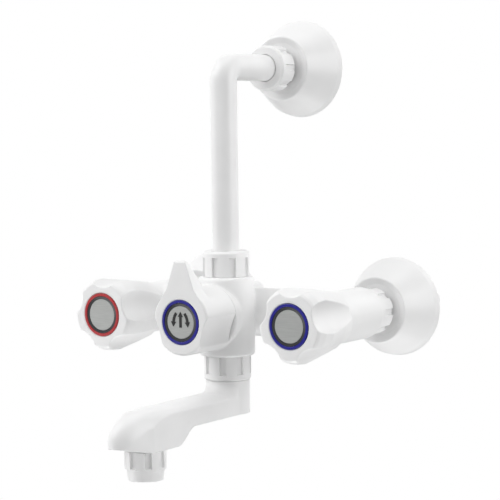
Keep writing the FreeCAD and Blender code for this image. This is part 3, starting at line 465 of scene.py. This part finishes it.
@cache
def thread_tree():
    """A screw thread wound around a leg, fading out over a share of both its ends."""
    tree = PieceTree("Wound thread", Start="Vector", Length="Float", Radius="Float",
                     Depth="Float", Pitch="Float")
    radius, run = tree.value["Radius"], tree.value["Length"]
    fade, faded = 0.04, 0.05
    coil = tree.node("GeometryNodeCurveSpiral", Resolution=40, Start_Radius=radius,
                     End_Radius=radius, Height=run,
                     Rotations=tree.maths("DIVIDE", run, tree.value["Pitch"]))
    along = tree.node("GeometryNodeSplineParameter")
    fade_in = tree.node("ShaderNodeMapRange", Value=along, From_Min=0.0, From_Max=fade,
                        To_Min=faded, To_Max=1.0)
    fade_out = tree.node("ShaderNodeMapRange", Value=along, From_Min=1.0 - fade, From_Max=1.0,
                         To_Min=1.0, To_Max=faded)
    ridge = tree.node("GeometryNodeCurvePrimitiveCircle", Resolution=4,
                      Radius=tree.value["Depth"])
    thread = tree.node("GeometryNodeCurveToMesh", Curve=coil, Profile_Curve=ridge,
                       Scale=tree.maths("MULTIPLY", fade_in, fade_out), Fill_Caps=True)
    placed = tree.node("GeometryNodeTransform", Geometry=thread, Rotation=(QUARTER, 0.0, 0.0),
                       Translation=tree.value["Start"])
    return tree.finish(tree.join(tree.value["Geometry"], placed))


@cache
def perforation_tree():
    """Drilled cells on a triangular grid, kept where they lie inside a radius."""
    tree = PieceTree("Drilled grid", Centre="Vector", Pitch="Float", Radius="Float", Rows="Int")
    rows, pitch = tree.value["Rows"], tree.value["Pitch"]
    index = tree.node("GeometryNodeInputIndex")
    half = tree.maths("FLOOR", tree.maths("DIVIDE", rows, 2.0))
    row = tree.maths("SUBTRACT", tree.maths("FLOOR", tree.maths("DIVIDE", index, rows)), half)
    column = tree.maths("SUBTRACT", tree.maths("MODULO", index, rows), half)
    offset = tree.maths("MULTIPLY", tree.maths("MODULO", row, 2.0), 0.5)
    rise = tree.maths("MULTIPLY", pitch, math.sqrt(3) / 2)
    place = tree.node("ShaderNodeCombineXYZ", Y=tree.maths("MULTIPLY", row, rise),
                      X=tree.maths("MULTIPLY", tree.maths("ADD", column, offset), pitch))
    points = tree.node("GeometryNodePoints", Count=tree.maths("MULTIPLY", rows, rows),
                       Position=place)
    reach = tree.node("ShaderNodeVectorMath", {"operation": "LENGTH"}, "Value", input_0=place)
    outside = tree.maths("GREATER_THAN", reach, tree.value["Radius"])
    kept = tree.node("GeometryNodeDeleteGeometry", {"domain": "POINT"}, Geometry=points,
                     Selection=outside)
    cells = tree.node("GeometryNodeInstanceOnPoints", Points=kept,
                      Instance=tree.value["Geometry"])
    return tree.finish(tree.node("GeometryNodeTranslateInstances", Instances=cells,
                                 Translation=tree.value["Centre"], Local_Space=False))


class Finish(Tree):
    """A procedural finish on the Principled shader, in object coordinates."""

    def __init__(self, name, stretch=(1.0, 1.0, 1.0)):
        self.material = bpy.data.materials.new(name)
        self.material.use_nodes = True
        super().__init__(self.material.node_tree)
        self.shader = self.group.nodes["Principled BSDF"]
        place = self.node("ShaderNodeTexCoord", output="Object")
        self.place = self.node("ShaderNodeMapping", Vector=place, Scale=stretch)

    def set(self, **values):
        """Sets or links inputs of the shader."""
        self.feed(self.shader, **values)

    def noise(self, scale, detail=3.0, roughness=0.55):
        """A noise of this scale over the piece."""
        return self.node("ShaderNodeTexNoise", Vector=self.place, Scale=scale, Detail=detail,
                         Roughness=roughness)

    def spread(self, noise, low=0.0, high=1.0):
        """A number from low to high over the middle of a noise's range."""
        return self.node("ShaderNodeMapRange", Value=noise, From_Min=0.35, From_Max=0.65,
                         To_Min=low, To_Max=high)

    def tint(self, noise, tone, low, high):
        """Colours the finish with shares of its tone, from low to high as a noise goes."""
        shades = [(*(min(1.0, part * amount) for part in tone), 1.0) for amount in (low, high)]
        self.set(Base_Color=self.node("ShaderNodeMix", {"data_type": "RGBA"}, "Result",
                                      Factor=self.spread(noise), A=shades[0], B=shades[1]))

    def bump(self, *layers):
        """Bumps the surface with (noise, strength, depth) layers."""
        under = {}
        for noise, strength, depth in layers:
            under = {"Normal": self.node("ShaderNodeBump", Height=noise, Strength=strength,
                                         Distance=depth, **under)}
        self.set(**under)


def plastic(name, tone, gloss, variation):
    """Moulded plastic: faint flow marks in its tone and a fine skin."""
    finish = Finish(name)
    flow = finish.noise(scale=42.0, detail=2.0)
    skin = finish.noise(scale=1500.0, detail=2.0, roughness=0.6)
    finish.tint(flow, tone, 1.0 - variation, 1.0 + variation / 3)
    finish.bump((flow, 0.03, 0.1 * MM), (skin, 0.06, 0.01 * MM))
    finish.set(IOR=1.5, Roughness=gloss)
    return finish.material


def rubber(name, tone):
    """Moulded rubber: dull, with dust in a coarse skin."""
    finish = Finish(name)
    dust = finish.noise(scale=240.0, detail=5.0)
    skin = finish.noise(scale=2200.0, detail=2.0)
    finish.tint(dust, tone, 1.0, 2.4)
    finish.bump((skin, 0.5, 0.03 * MM))
    finish.set(Roughness=finish.spread(dust, 0.62, 0.82))
    return finish.material


def metal(name, tone):
    """Drawn steel with fine lines along it."""
    finish = Finish(name, stretch=(1.0, 0.08, 1.0))
    lines = finish.noise(scale=2600.0)
    smudge = finish.noise(scale=120.0)
    finish.tint(smudge, tone, 0.85, 1.06)
    finish.bump((lines, 0.35, 0.02 * MM))
    finish.set(Metallic=1.0, Roughness=finish.spread(smudge, 0.24, 0.4))
    return finish.material


def satin(name, tone):
    """A satin disc with fine lines across it."""
    finish = Finish(name, stretch=(0.06, 1.0, 1.0))
    lines = finish.noise(scale=1800.0)
    cloud = finish.noise(scale=90.0, detail=2.0)
    finish.tint(lines, tone, 0.93, 1.05)
    finish.bump((lines, 0.2, 0.01 * MM))
    finish.set(Metallic=0.25, Roughness=finish.spread(cloud, 0.3, 0.42))
    return finish.material


# For each of the record's slots: its kind, its colour and, for plastic, gloss and variation
FINISHES = {
    "white_plastic": (plastic, "white", 0.3, 0.02),
    "inner_plastic": (plastic, "natural", 0.42, 0.06),
    "badge_grey": (satin, "badge"),
    "bezel_grey": (plastic, "bezel", 0.22, 0.1),
    "mark_black": (plastic, "mark", 0.5, 0.1),
    "red_plastic": (plastic, "hot", 0.24, 0.06),
    "blue_plastic": (plastic, "cold", 0.24, 0.06),
    "seal_rubber": (rubber, "rubber"),
    "steel": (metal, "steel"),
}


@cache
def finish_of(slot):
    """The material of one of the record's slots."""
    kind, tone, *looks = FINISHES[slot]
    return kind("slot " + slot, getattr(bpy.context.scene.tap_colours, tone), *looks)


def paint(obj, node):
    """Gives a piece the finish of its CAD node's slot."""
    obj.data.materials.clear()
    obj.data.materials.append(finish_of(SLOTS[node]))


def dress(obj, node):
    """Paints a piece, hangs it on its body and lets it stand for its CAD node."""
    paint(obj, node)
    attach(obj, BODIES[node])
    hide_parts(node)


class TapOperator(bpy.types.Operator):
    """A step of building the tap."""

    bl_options = {"REGISTER", "UNDO"}


class TAP_OT_flanges(TapOperator):
    """Turn the three hollow flanges that cover the holes in the wall"""

    bl_idname = "tap.flanges"
    bl_label = "Flanges"

    def execute(self, context):
        sizes = context.scene.tap_sizes
        gap, lip_round, dish_round, shell_round = 0.25 * MM, 1.1 * MM, 1.4 * MM, 1.5 * MM
        for side in WALL_SIDES:
            node = side + "_flange"
            seat = Seat(node, OUT)
            dish = seat.far - sizes.flange_sink
            inside = dish - sizes.flange_wall
            hole = sizes.shank + gap
            bell = turned(side + "_bell", seat, [
                (0.0, seat.radius, SOFT),
                (sizes.flange_band, seat.radius - sizes.flange_taper, SOFT),
                (seat.far, sizes.flange_lip, lip_round),
                (dish, sizes.flange_dish, dish_round),
                (dish, hole, CRISP),
                (inside, hole, FINE),
                (inside, sizes.flange_lip - sizes.flange_wall, shell_round),
                (0.0, seat.radius - sizes.flange_wall, CRISP)])
            dress(add_object(side + "_bell", bell), node)
        return {"FINISHED"}


class TAP_OT_legs(TapOperator):
    """Turn the three legs and wind a thread around the part that enters the wall"""

    bl_idname = "tap.legs"
    bl_label = "Threaded legs"

    def execute(self, context):
        sizes = context.scene.tap_sizes
        for side in WALL_SIDES:
            node = side + ("_leg" if side == "outlet" else "_inlet_leg")
            seat = Seat(node, OUT)
            lead, root = sizes.thread_lead, sizes.thread_crest - sizes.thread_depth
            head_start = Seat(side + "_flange", OUT).far
            bevel_end = seat.near + (sizes.tip_length if side in INLETS else 0.0)
            corners = [(seat.near, sizes.leg_bore)]
            if side in INLETS:
                corners += [(seat.near, sizes.tip_radius, ROUND), (bevel_end, sizes.tip_radius)]
            corners += [
                (bevel_end, sizes.thread_crest - lead),
                (bevel_end + lead, root),
                (-lead, root),
                (0.0, sizes.thread_crest),
                (0.0, sizes.shank),
                (head_start, sizes.shank),
                (head_start, seat.radius, CRISP),
                (seat.far, seat.radius, ROUND),
                (seat.far, sizes.leg_bore)]
            name = side + "_threaded_leg"
            leg = add_object(name, turned(name, seat, corners, LEG_STEPS))
            apply_tree(leg, node, thread_tree(), Radius=root, Depth=sizes.thread_depth,
                       Pitch=sizes.thread_pitch, Start=seat.at(bevel_end + lead, 0.0, 0.0),
                       Length=-bevel_end - lead - sizes.thread_pitch)
            clean(leg.data)
            dress(leg, node)
        return {"FINISHED"}


def eased(way):
    """A smooth step from 0 to 1."""
    way = min(1.0, max(0.0, way))
    return way * way * (3 - 2 * way)


def slotted_sector(name, seat, corners, sizes, slot_end, first):
    """One sector of a slotted ring, from the middle of one land to the middle of the next.

    The corners' weights say where a slot may cut; past slot_end it is closed by an eased wall.
    The slot lies at the angle first."""
    half_sector = math.pi / sizes.slot_count
    half_slot = sizes.slot_width / 2 / seat.radius
    ramp = sizes.slot_ease / seat.radius
    inner, outer = half_slot - ramp / 2, half_slot + ramp / 2
    land_steps, wall_steps, floor_steps = 3, 4, 3
    turns = [half_sector - (half_sector - outer) * k / land_steps for k in range(land_steps)]
    turns += [outer - ramp * k / wall_steps for k in range(wall_steps + 1)]
    turns += [inner * k / floor_steps for k in range(floor_steps - 1, 0, -1)]
    turns = [-turn for turn in turns] + [0.0] + turns[::-1]
    outline = rounded(corners)
    points = []
    for turn in turns:
        cut = 1.0 - eased((abs(turn) - inner) / ramp)
        for along, radius, weight in outline:
            closing = 1.0 - eased((along - slot_end) / sizes.slot_ease)
            depth = sizes.slot_depth * cut * weight * closing
            points.append(seat.at(along, radius - depth, first + turn))
    return mesh_of(name, points, ring_faces(len(turns), len(outline)))


def slot_stations(start, end, slot_end, ease, radius):
    """Outline stations along a slotted side, close together where the slots end."""
    steps, clear = 6, 1.6 * ease
    stations = [(start + ease, radius, 0.0, 1.0), (slot_end - ease, radius, 0.0, 1.0)]
    stations += [(slot_end + ease * k / steps, radius, 0.0, 1.0) for k in range(steps + 1)]
    return [*stations, (slot_end + clear, radius), (end, radius)]


def ribbed(node, name, seat, corners, sizes, slot_end, first=0.0):
    """A ribbed ring in place of its CAD node: one sector repeated around its axis."""
    piece = add_object(name, slotted_sector(name, seat, corners, sizes, slot_end, first))
    apply_tree(piece, node, sector_tree(), Centre=seat.start, Axis=seat.along,
               Count=sizes.slot_count)
    clean(piece.data)
    dress(piece, node)


class TAP_OT_nuts(TapOperator):
    """Repeat a slotted sector around each of the five union nuts"""

    bl_idname = "tap.nuts"
    bl_label = "Union nuts"

    def execute(self, context):
        sizes = context.scene.tap_sizes
        for side in WALL_SIDES:
            self.nut(sizes, side + "_union_nut", OUT, sizes.nut_thread, sizes.nut_hole)
        self.nut(sizes, "riser_nut", UP, sizes.nut_thread, sizes.nut_hole,
                 first=sizes.riser_nut_turn)
        self.nut(sizes, "spout_nut", DOWN, sizes.spout_nut_thread, sizes.spout_nut_hole,
                 first=math.pi / sizes.slot_count, reach=SEAM)
        return {"FINISHED"}

    def nut(self, sizes, node, along, bore, hole, first=0.0, reach=0.0):
        """One nut that is open at its foot and closed but for a hole at its top."""
        seat = Seat(node, along)
        foot, top, outer = seat.near, seat.far + reach, seat.radius
        slot_end, inner, side = top - sizes.slot_land, top - sizes.nut_end, top - sizes.nut_bevel
        margin = 0.8 * MM
        ribbed(node, node + "_ribbed", seat, [
            (foot, bore, SOFT),
            (foot, outer, ROUND, 1.0),
            *slot_stations(foot + margin, side - margin, slot_end, sizes.slot_ease, outer),
            (side, outer, SOFT),
            (top, outer - sizes.nut_bevel, CRISP),
            (top, hole, CRISP),
            (inner, hole, FINE),
            (inner, bore, SOFT)], sizes, slot_end, first)


class TAP_OT_riser(TapOperator):
    """Sweep the riser along its bent path and close its ends with collars"""

    bl_idname = "tap.riser"
    bl_label = "Riser"

    def execute(self, context):
        sizes = context.scene.tap_sizes
        node = "riser_bend"
        low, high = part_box(node)
        column, outlet = Seat("riser_nut", UP), Seat("outlet_flange", OUT)
        level = outlet.start.z
        path = [column.at(low.z, 0.0, 0.0), column.at(level, 0.0, 0.0),
                (column.start.x, high.y, level)]
        riser = add_object("riser_pipe", mesh_of("riser_path", path, (), [(0, 1), (1, 2)]))
        apply_tree(riser, node, pipe_tree(), Bend=sizes.pipe_bend, Outside=sizes.pipe_radius,
                   Bore=sizes.pipe_bore, Sides=TURN_STEPS)
        work = bmesh.new()
        work.from_mesh(riser.data)
        rims = [edge for edge in work.edges if edge.is_boundary]
        near = MERGE * 4
        for way, end in ((1, high.y), (2, low.z)):
            bmesh.ops.bridge_loops(work, edges=[
                edge for edge in rims
                if all(abs(vert.co[way] - end) < near for vert in edge.verts)])
        work.to_mesh(riser.data)
        work.free()
        root = 0.5 * MM
        edge, skin = (high.x - low.x) / 2, sizes.pipe_radius - root
        collars = [turned("collar", seat, [
            (foot, skin), (foot, edge, SOFT), (foot + sizes.collar, edge, SOFT),
            (foot + sizes.collar, skin)]) for seat, foot in ((column, low.z), (outlet, -high.y))]
        riser.data = clean(joined("riser_pipe", riser.data, *collars))
        dress(riser, node)
        return {"FINISHED"}


class TAP_OT_body(TapOperator):
    """Mould the body with its valve cases, cross tube, barrel and boss"""

    bl_idname = "tap.body"
    bl_label = "Body"

    def execute(self, context):
        sizes = context.scene.tap_sizes
        node = "mixer_body"
        dress(moulded("body_moulding", sizes.body_voxel, 4, NODES[node].data), node)
        return {"FINISHED"}


class TAP_OT_knobs(TapOperator):
    """Mould the two lobed knobs and the diverter's pointed knob"""

    bl_idname = "tap.knobs"
    bl_label = "Knobs"

    def execute(self, context):
        sizes = context.scene.tap_sizes
        for prefix in CAPPED:
            node = prefix + "_knob"
            dress(moulded(prefix + "_grip", sizes.knob_voxel, 3, NODES[node].data), node)
        return {"FINISHED"}


class TAP_OT_caps(TapOperator):
    """Turn the index rings, bezels and badges set into the knobs"""

    bl_idname = "tap.caps"
    bl_label = "Caps"

    def execute(self, context):
        sizes = context.scene.tap_sizes
        gap, ring_round, badge_round = 0.05 * MM, 0.45 * MM, 0.25 * MM
        hole = sizes.badge_radius
        disc = hole - gap
        for prefix in CAPPED:
            ring, bezel, badge = (Seat(prefix + part, OUT)
                                  for part in ("_index_ring", "_bezel", "_badge"))
            inner = ring.radius - sizes.index_width
            for part, name, corners in (
                    ("_index_ring", "_index_band", [
                        (ring.near, inner), (ring.near, ring.radius),
                        (ring.far, ring.radius, ring_round), (ring.far, inner, CRISP)]),
                    ("_bezel", "_bezel_ring", [
                        (bezel.near, 0.0), (bezel.near, bezel.radius),
                        (bezel.far, bezel.radius, CRISP), (bezel.far - sizes.badge_sink, hole),
                        (badge.near, hole), (badge.near, 0.0)]),
                    ("_badge", "_badge_disc", [
                        (badge.near, 0.0), (badge.near, disc),
                        (badge.far, disc, badge_round), (badge.far, 0.0)])):
                piece = add_object(prefix + name, turned(prefix + name, ring, corners))
                dress(piece, prefix + part)
        return {"FINISHED"}


class TAP_OT_arrows(TapOperator):
    """Lay the three arrows on the diverter's badge"""

    bl_idname = "tap.arrows"
    bl_label = "Arrows"

    def execute(self, context):
        sizes = context.scene.tap_sizes
        node = "diverter_arrows"
        seat, centre = Seat(node, OUT), Seat("diverter_badge", OUT).start
        unit = sizes.badge_radius / 2
        foot, rise = -0.62 * unit, 1.3 * unit
        stem_steps, bow_steps = 8, 12
        stem = [Vector((0.0, foot + rise * k / stem_steps)) for k in range(stem_steps + 1)]
        bow_centre, bow_radius = Vector((-0.77, -0.06)) * unit, 1.81 * unit
        bow_foot, bow_sweep = 40.0, 36.0
        spokes = [math.radians(bow_foot - bow_sweep * k / bow_steps)
                  for k in range(bow_steps + 1)]
        bow = [bow_centre + bow_radius * Vector((math.cos(spoke), math.sin(spoke)))
               for spoke in spokes]
        right = self.arrow(bow, sizes)
        left = [Vector((-point.x, point.y)) for point in reversed(right)]
        arrows = [lofted("arrow", [
            [(centre.x + point.x, -along, centre.z + point.y) for point in outline]
            for along in (seat.near, seat.far)])
            for outline in (self.arrow(stem, sizes), right, left)]
        dress(add_object("arrow_print", clean(joined("arrows", *arrows))), node)
        return {"FINISHED"}

    @staticmethod
    def arrow(path, sizes):
        """The outline of a bent arrow along a path, its head past the path's end."""
        left, right = [], []
        for number, point in enumerate(path):
            ahead = path[min(number + 1, len(path) - 1)] - path[max(number - 1, 0)]
            across = Vector((-ahead.y, ahead.x)).normalized()
            left.append(point + across * sizes.arrow_width / 2)
            right.append(point - across * sizes.arrow_width / 2)
        half_head = sizes.arrow_head * 0.62
        wing = across * half_head
        tip = path[-1] + (path[-1] - path[-2]).normalized() * sizes.arrow_head
        return [*left, path[-1] + wing, tip, path[-1] - wing, *right[::-1]]


class TAP_OT_spout(TapOperator):
    """Mould the spout, with the curve that leads its post into the arm"""

    bl_idname = "tap.spout"
    bl_label = "Spout"

    # Powers of the curve across the arm's arched top and of those that lead into the nose
    ARCH, LEAD = 3.73, 1.5
    # How much the bulb is drawn in where its nose begins
    PINCH = 0.5
    # Steps across half the roof
    ROOF_STEPS = 14
    # How far the bulb and its spigot reach into what they join
    LAP = 4.0 * MM

    def fillet(self, sizes):
        """A solid wedge that fills the corner between the post and the arm's top."""
        axis = Seat("spout_nut", DOWN).start
        radius = sizes.post_fillet
        root, sink, under, nearly_all = 3.0 * MM, 0.1 * MM, 2.0 * MM, 0.98
        side = sizes.arm_half - FINE
        widest = math.asin(side / sizes.post_radius) * nearly_all
        fall = sizes.arm_edge - sizes.arm_top
        steps, half_turns = 10, 20
        rings = []
        for turn in (widest * (k / half_turns - 1) for k in range(2 * half_turns + 1)):
            top = []
            for step in range(-1, steps + 1):
                swing = QUARTER * max(step, 0) / steps
                out = sizes.post_radius + radius * (1 - math.cos(swing))
                if step < 0:
                    out -= root
                if abs(math.sin(turn)) * out > side:
                    out = side / abs(math.sin(turn))
                x = out * math.sin(turn)
                roof = -sizes.arm_top - fall * abs(x / sizes.arm_half) ** self.ARCH
                height = roof + radius * (1 - math.sin(swing)) - sink
                top.append(Vector((x, axis.y - out * math.cos(turn), height)))
            floor = -sizes.arm_edge - under
            rings.append(top + [Vector((*point.xy, floor)) for point in reversed(top)])
        return lofted("post_fillet", rings)

    def bulb_section(self, sizes, reach, swing):
        """A section across the bulb, from one foot over the roof to the other foot.

        The roof lies flat on the straight part and turns into a dome as swing goes to a quarter
        turn around the nose."""
        gap, rim = 0.3 * MM, 0.2 * MM
        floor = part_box("nozzle_nut")[1].z + gap
        out = math.sin(swing)
        pinch = 1 - self.PINCH * out * (1 - out) ** 2
        half = sizes.arm_half * math.cos(swing) * pinch
        near = min(1.0, max(0.0, (reach - sizes.nose_start) / sizes.crease_lead + 1))
        crease = sizes.arm_edge - sizes.arm_top + sizes.crease_fall * near ** self.LEAD
        full = -floor - sizes.arm_top
        foot = floor + sizes.nose_lift * out
        roof = []
        for k in range(-self.ROOF_STEPS, self.ROOF_STEPS + 1):
            across = math.sin(QUARTER * k / self.ROOF_STEPS)
            way = math.hypot(out, across * math.cos(swing))
            ahead = out / way if out > 0 else 0.0
            fall = (full + (sizes.nose_fall - full) * ahead ** 2) * (
                1 - math.sqrt(max(0.0, 1 - way * way)))
            blend = ahead ** self.LEAD
            depth = fall * blend + (1 - blend) * crease * way ** self.ARCH
            height = max(foot + rim, -sizes.arm_top - depth)
            roof.append(Vector((half * across, -reach, height)))
        return [Vector((-half, -reach, foot)), *roof, Vector((half, -reach, foot))]

    def bulb(self, sizes):
        """The closed bulb, from the deep end of the arm to the nose."""
        start = sizes.bulb_cut - self.LAP
        steps, nose_steps, last_swing = 16, 18, math.radians(89.0)
        stations = [(start + (sizes.nose_start - start) * k / steps, 0.0)
                    for k in range(steps + 1)]
        for k in range(1, nose_steps + 1):
            swing = last_swing * k / nose_steps
            stations.append((sizes.nose_start + sizes.nose_round * math.sin(swing), swing))
        return lofted("bulb", [self.bulb_section(sizes, *station) for station in stations])

    def execute(self, context):
        sizes = context.scene.tap_sizes
        nozzle = Seat("nozzle_nut", DOWN)
        top, end = nozzle.near - self.LAP, Seat("nozzle_washer", DOWN).near
        spigot = turned("spigot", nozzle, [(top, 0.0), (top, sizes.spigot), (end, sizes.spigot),
                                           (end, 0.0)])
        work = bmesh.new()
        work.from_mesh(joined("spout", NODES["spout"].data))
        bmesh.ops.bisect_plane(work, geom=work.verts[:] + work.edges[:] + work.faces[:],
                               plane_co=(0.0, -sizes.bulb_cut, 0.0), plane_no=(0.0, -1.0, 0.0),
                               clear_outer=True)
        arm = bpy.data.meshes.new("arm")
        work.to_mesh(arm)
        work.free()
        dress(moulded("spout_moulding", sizes.spout_voxel, 3, arm, self.fillet(sizes),
                      self.bulb(sizes), spigot), "spout")
        return {"FINISHED"}


class TAP_OT_nozzle(TapOperator):
    """Repeat a slotted sector around the nozzle and drill its flow disc"""

    bl_idname = "tap.nozzle"
    bl_label = "Nozzle"

    def execute(self, context):
        sizes = context.scene.tap_sizes
        node = "nozzle_nut"
        seat, disc = Seat(node, DOWN), Seat("flow_straightener", DOWN)
        top, end, outer = seat.near - SEAM, seat.far, seat.radius
        margin, band_round, tip_round = 0.7 * MM, 0.6 * MM, 1.0 * MM
        band_end, ease = end - sizes.nozzle_tip, sizes.slot_ease * 0.8
        slot_end = band_end - sizes.band_land
        washer = Seat("nozzle_washer", DOWN).near
        ribbed(node, "nozzle_ribbed", seat, [
            (top, sizes.nozzle_thread, FINE),
            (top, outer, ROUND, 1.0),
            *slot_stations(top + margin, band_end - margin, slot_end, ease, outer),
            (band_end, outer, band_round),
            (band_end, sizes.nozzle_tip_radius, CRISP),
            (end, sizes.nozzle_end_radius, tip_round),
            (end, sizes.nozzle_mouth, band_round),
            (disc.far, sizes.nozzle_mouth),
            (disc.far, sizes.nozzle_bore),
            (washer, sizes.nozzle_bore),
            (washer, sizes.nozzle_thread)], sizes, slot_end)
        self.flow_disc(sizes, seat, disc)
        return {"FINISHED"}

    def flow_disc(self, sizes, seat, disc):
        """A rim around drilled six-sided cells that meet along their sides."""
        node = "flow_straightener"
        pitch, hole, rim = sizes.flow_pitch, sizes.flow_hole, disc.radius
        sides, sixth = 24, math.tau / 6
        points = []
        for turn in (math.tau * k / sides for k in range(sides)):
            around = (turn + sixth / 2) % sixth - sixth / 2
            for radius, depth in ((pitch / 2 / math.cos(around), disc.near), (hole, disc.near),
                                  (hole, disc.far), (pitch / 2 / math.cos(around), disc.far)):
                points.append((radius * math.cos(turn), radius * math.sin(turn), -depth))
        faces = [face for k, face in enumerate(ring_faces(sides, 4, closed=True)) if k % 4 < 3]
        piece = add_object("flow_disc", mesh_of("flow_disc", points, faces))
        apply_tree(piece, node, perforation_tree(), Centre=seat.start, Pitch=pitch, Rows=9,
                   Radius=rim - hole * 1.5)
        inner = rim - pitch * 0.75
        ring = turned("rim", seat, [(disc.near, inner), (disc.near, rim, FINE),
                                    (disc.far, rim, FINE), (disc.far, inner)])
        piece.data = clean(joined("flow_disc", piece.data, ring))
        dress(piece, node)


class TAP_OT_inner(TapOperator):
    """Give every CAD node that still shows the finish of its slot"""

    bl_idname = "tap.inner"
    bl_label = "Inner pieces"

    def execute(self, context):
        for node, piece in NODES.items():
            if not piece.hide_render:
                paint(piece, node)
        return {"FINISHED"}


class TAP_OT_stage(TapOperator):
    """Set the floor, the lamps, the sky and the camera"""

    bl_idname = "tap.stage"
    bl_label = "Stage"

    def execute(self, context):
        scene = context.scene
        stage = scene.tap_stage
        scene.view_settings.view_transform = "Standard"
        self.floor(stage.floor)
        scene.world = self.sky(stage)
        for name, way, size in (("key", (-0.75, -0.75, 1.0), 1.4), ("fill", (0.2, -1.0, 0.25), 1.0),
                                ("side", (1.0, 0.15, 0.3), 1.2), ("back", (0.5, 0.9, 0.4), 1.2),
                                ("top", (0.1, -0.1, 1.0), 1.6), ("left", (-1.0, -0.35, 0.1), 1.2),
                                ("low_left", (-0.9, -0.75, -0.55), 1.0),
                                ("below", (0.0, -0.1, -1.0), 1.6)):
            data = bpy.data.lights.new(name, "AREA")
            data.size = size
            data.energy = getattr(stage, name)
            lamp = add_object(name + "_lamp", data)
            away = Vector(way).normalized()
            lamp.location = Vector(stage.target) + away * stage.lamp_distance
            lamp.rotation_euler = away.to_track_quat("Z", "Y").to_euler()
        scene.camera = self.camera(stage)
        return {"FINISHED"}

    def floor(self, height):
        """A wide pale floor, white where the camera sees it."""
        reach = 6.0
        mesh = mesh_of("floor", [(reach * x, reach * y, height) for x, y in
                                 ((-1, -1), (1, -1), (1, 1), (-1, 1))], [(0, 1, 2, 3)])
        material = bpy.data.materials.new("Pale floor")
        material.use_nodes = True
        tree = Tree(material.node_tree)
        shader = tree.group.nodes["Principled BSDF"]
        tree.feed(shader, Base_Color=(0.62, 0.62, 0.62, 1.0), Roughness=0.9)
        seen = tree.node("ShaderNodeLightPath", output="Is Camera Ray")
        either = tree.node("ShaderNodeMixShader", input_0=seen, input_1=shader.outputs[0],
                           input_2=tree.node("ShaderNodeEmission"))
        tree.feed(tree.group.nodes["Material Output"], Surface=either)
        mesh.materials.append(material)
        add_object("floor", mesh)

    def sky(self, stage):
        """An even sky that is white where it is seen and dim where its front is mirrored."""
        world = bpy.data.worlds.new("Studio")
        world.use_nodes = True
        tree = Tree(world.node_tree)
        place = tree.node("ShaderNodeTexCoord", output="Generated")
        wallward = tree.node("ShaderNodeSeparateXYZ", output="Y", Vector=place)
        bright = tree.node("ShaderNodeMapRange", Value=wallward, From_Min=-0.4, From_Max=0.4,
                           To_Min=stage.mirrored)
        glossy, camera = (tree.node("ShaderNodeLightPath", output=ray)
                          for ray in ("Is Glossy Ray", "Is Camera Ray"))
        seen = tree.maths("MAXIMUM", camera, tree.maths("MULTIPLY", glossy, bright))
        tree.feed(tree.group.nodes["Background"], Color=(1.0, 1.0, 1.0, 1.0),
                  Strength=tree.maths("MAXIMUM", seen, stage.sky))
        return world

    def camera(self, stage):
        """The camera at the photograph's viewing angle."""
        data = bpy.data.cameras.new("Camera")
        data.lens = stage.lens
        data.sensor_width = 36.0
        data.clip_end = 100.0
        camera = add_object("Camera", data)
        facing = (Matrix.Rotation(stage.azimuth, 4, "Z")
                  @ Matrix.Rotation(QUARTER - stage.elevation, 4, "X")
                  @ Matrix.Rotation(stage.roll, 4, "Z"))
        camera.matrix_world = (Matrix.Translation(stage.target) @ facing
                               @ Matrix.Translation((0.0, 0.0, stage.distance)))
        return camera


STEPS = (TAP_OT_flanges, TAP_OT_legs, TAP_OT_nuts, TAP_OT_riser, TAP_OT_body, TAP_OT_knobs,
         TAP_OT_caps, TAP_OT_arrows, TAP_OT_spout, TAP_OT_nozzle, TAP_OT_inner, TAP_OT_stage)


class TAP_PT_steps(bpy.types.Panel):
    """Lists the steps of building the tap"""

    bl_idname = "TAP_PT_steps"
    bl_label = "Mixer Tap"
    bl_space_type = "VIEW_3D"
    bl_region_type = "UI"
    bl_category = "Mixer Tap"

    def draw(self, context):
        for step in STEPS:
            self.layout.operator(step.bl_idname)


GROUPS = {"tap_sizes": TapSizes, "tap_colours": TapColours, "tap_stage": TapStage}
CLASSES = (*GROUPS.values(), *STEPS, TAP_PT_steps)


def register():
    """Registers the classes and hangs the property groups on the scene."""
    for cls in CLASSES:
        bpy.utils.register_class(cls)
    for name, group in GROUPS.items():
        setattr(bpy.types.Scene, name, PointerProperty(type=group))


def unregister():
    """Takes back what register does."""
    for name in GROUPS:
        delattr(bpy.types.Scene, name)
    for cls in reversed(CLASSES):
        bpy.utils.unregister_class(cls)


def main():
    """Builds the tap step by step."""
    register()
    for step in STEPS:
        getattr(bpy.ops.tap, step.bl_idname.split(".")[1])()


if __name__ == "__main__":
    main()
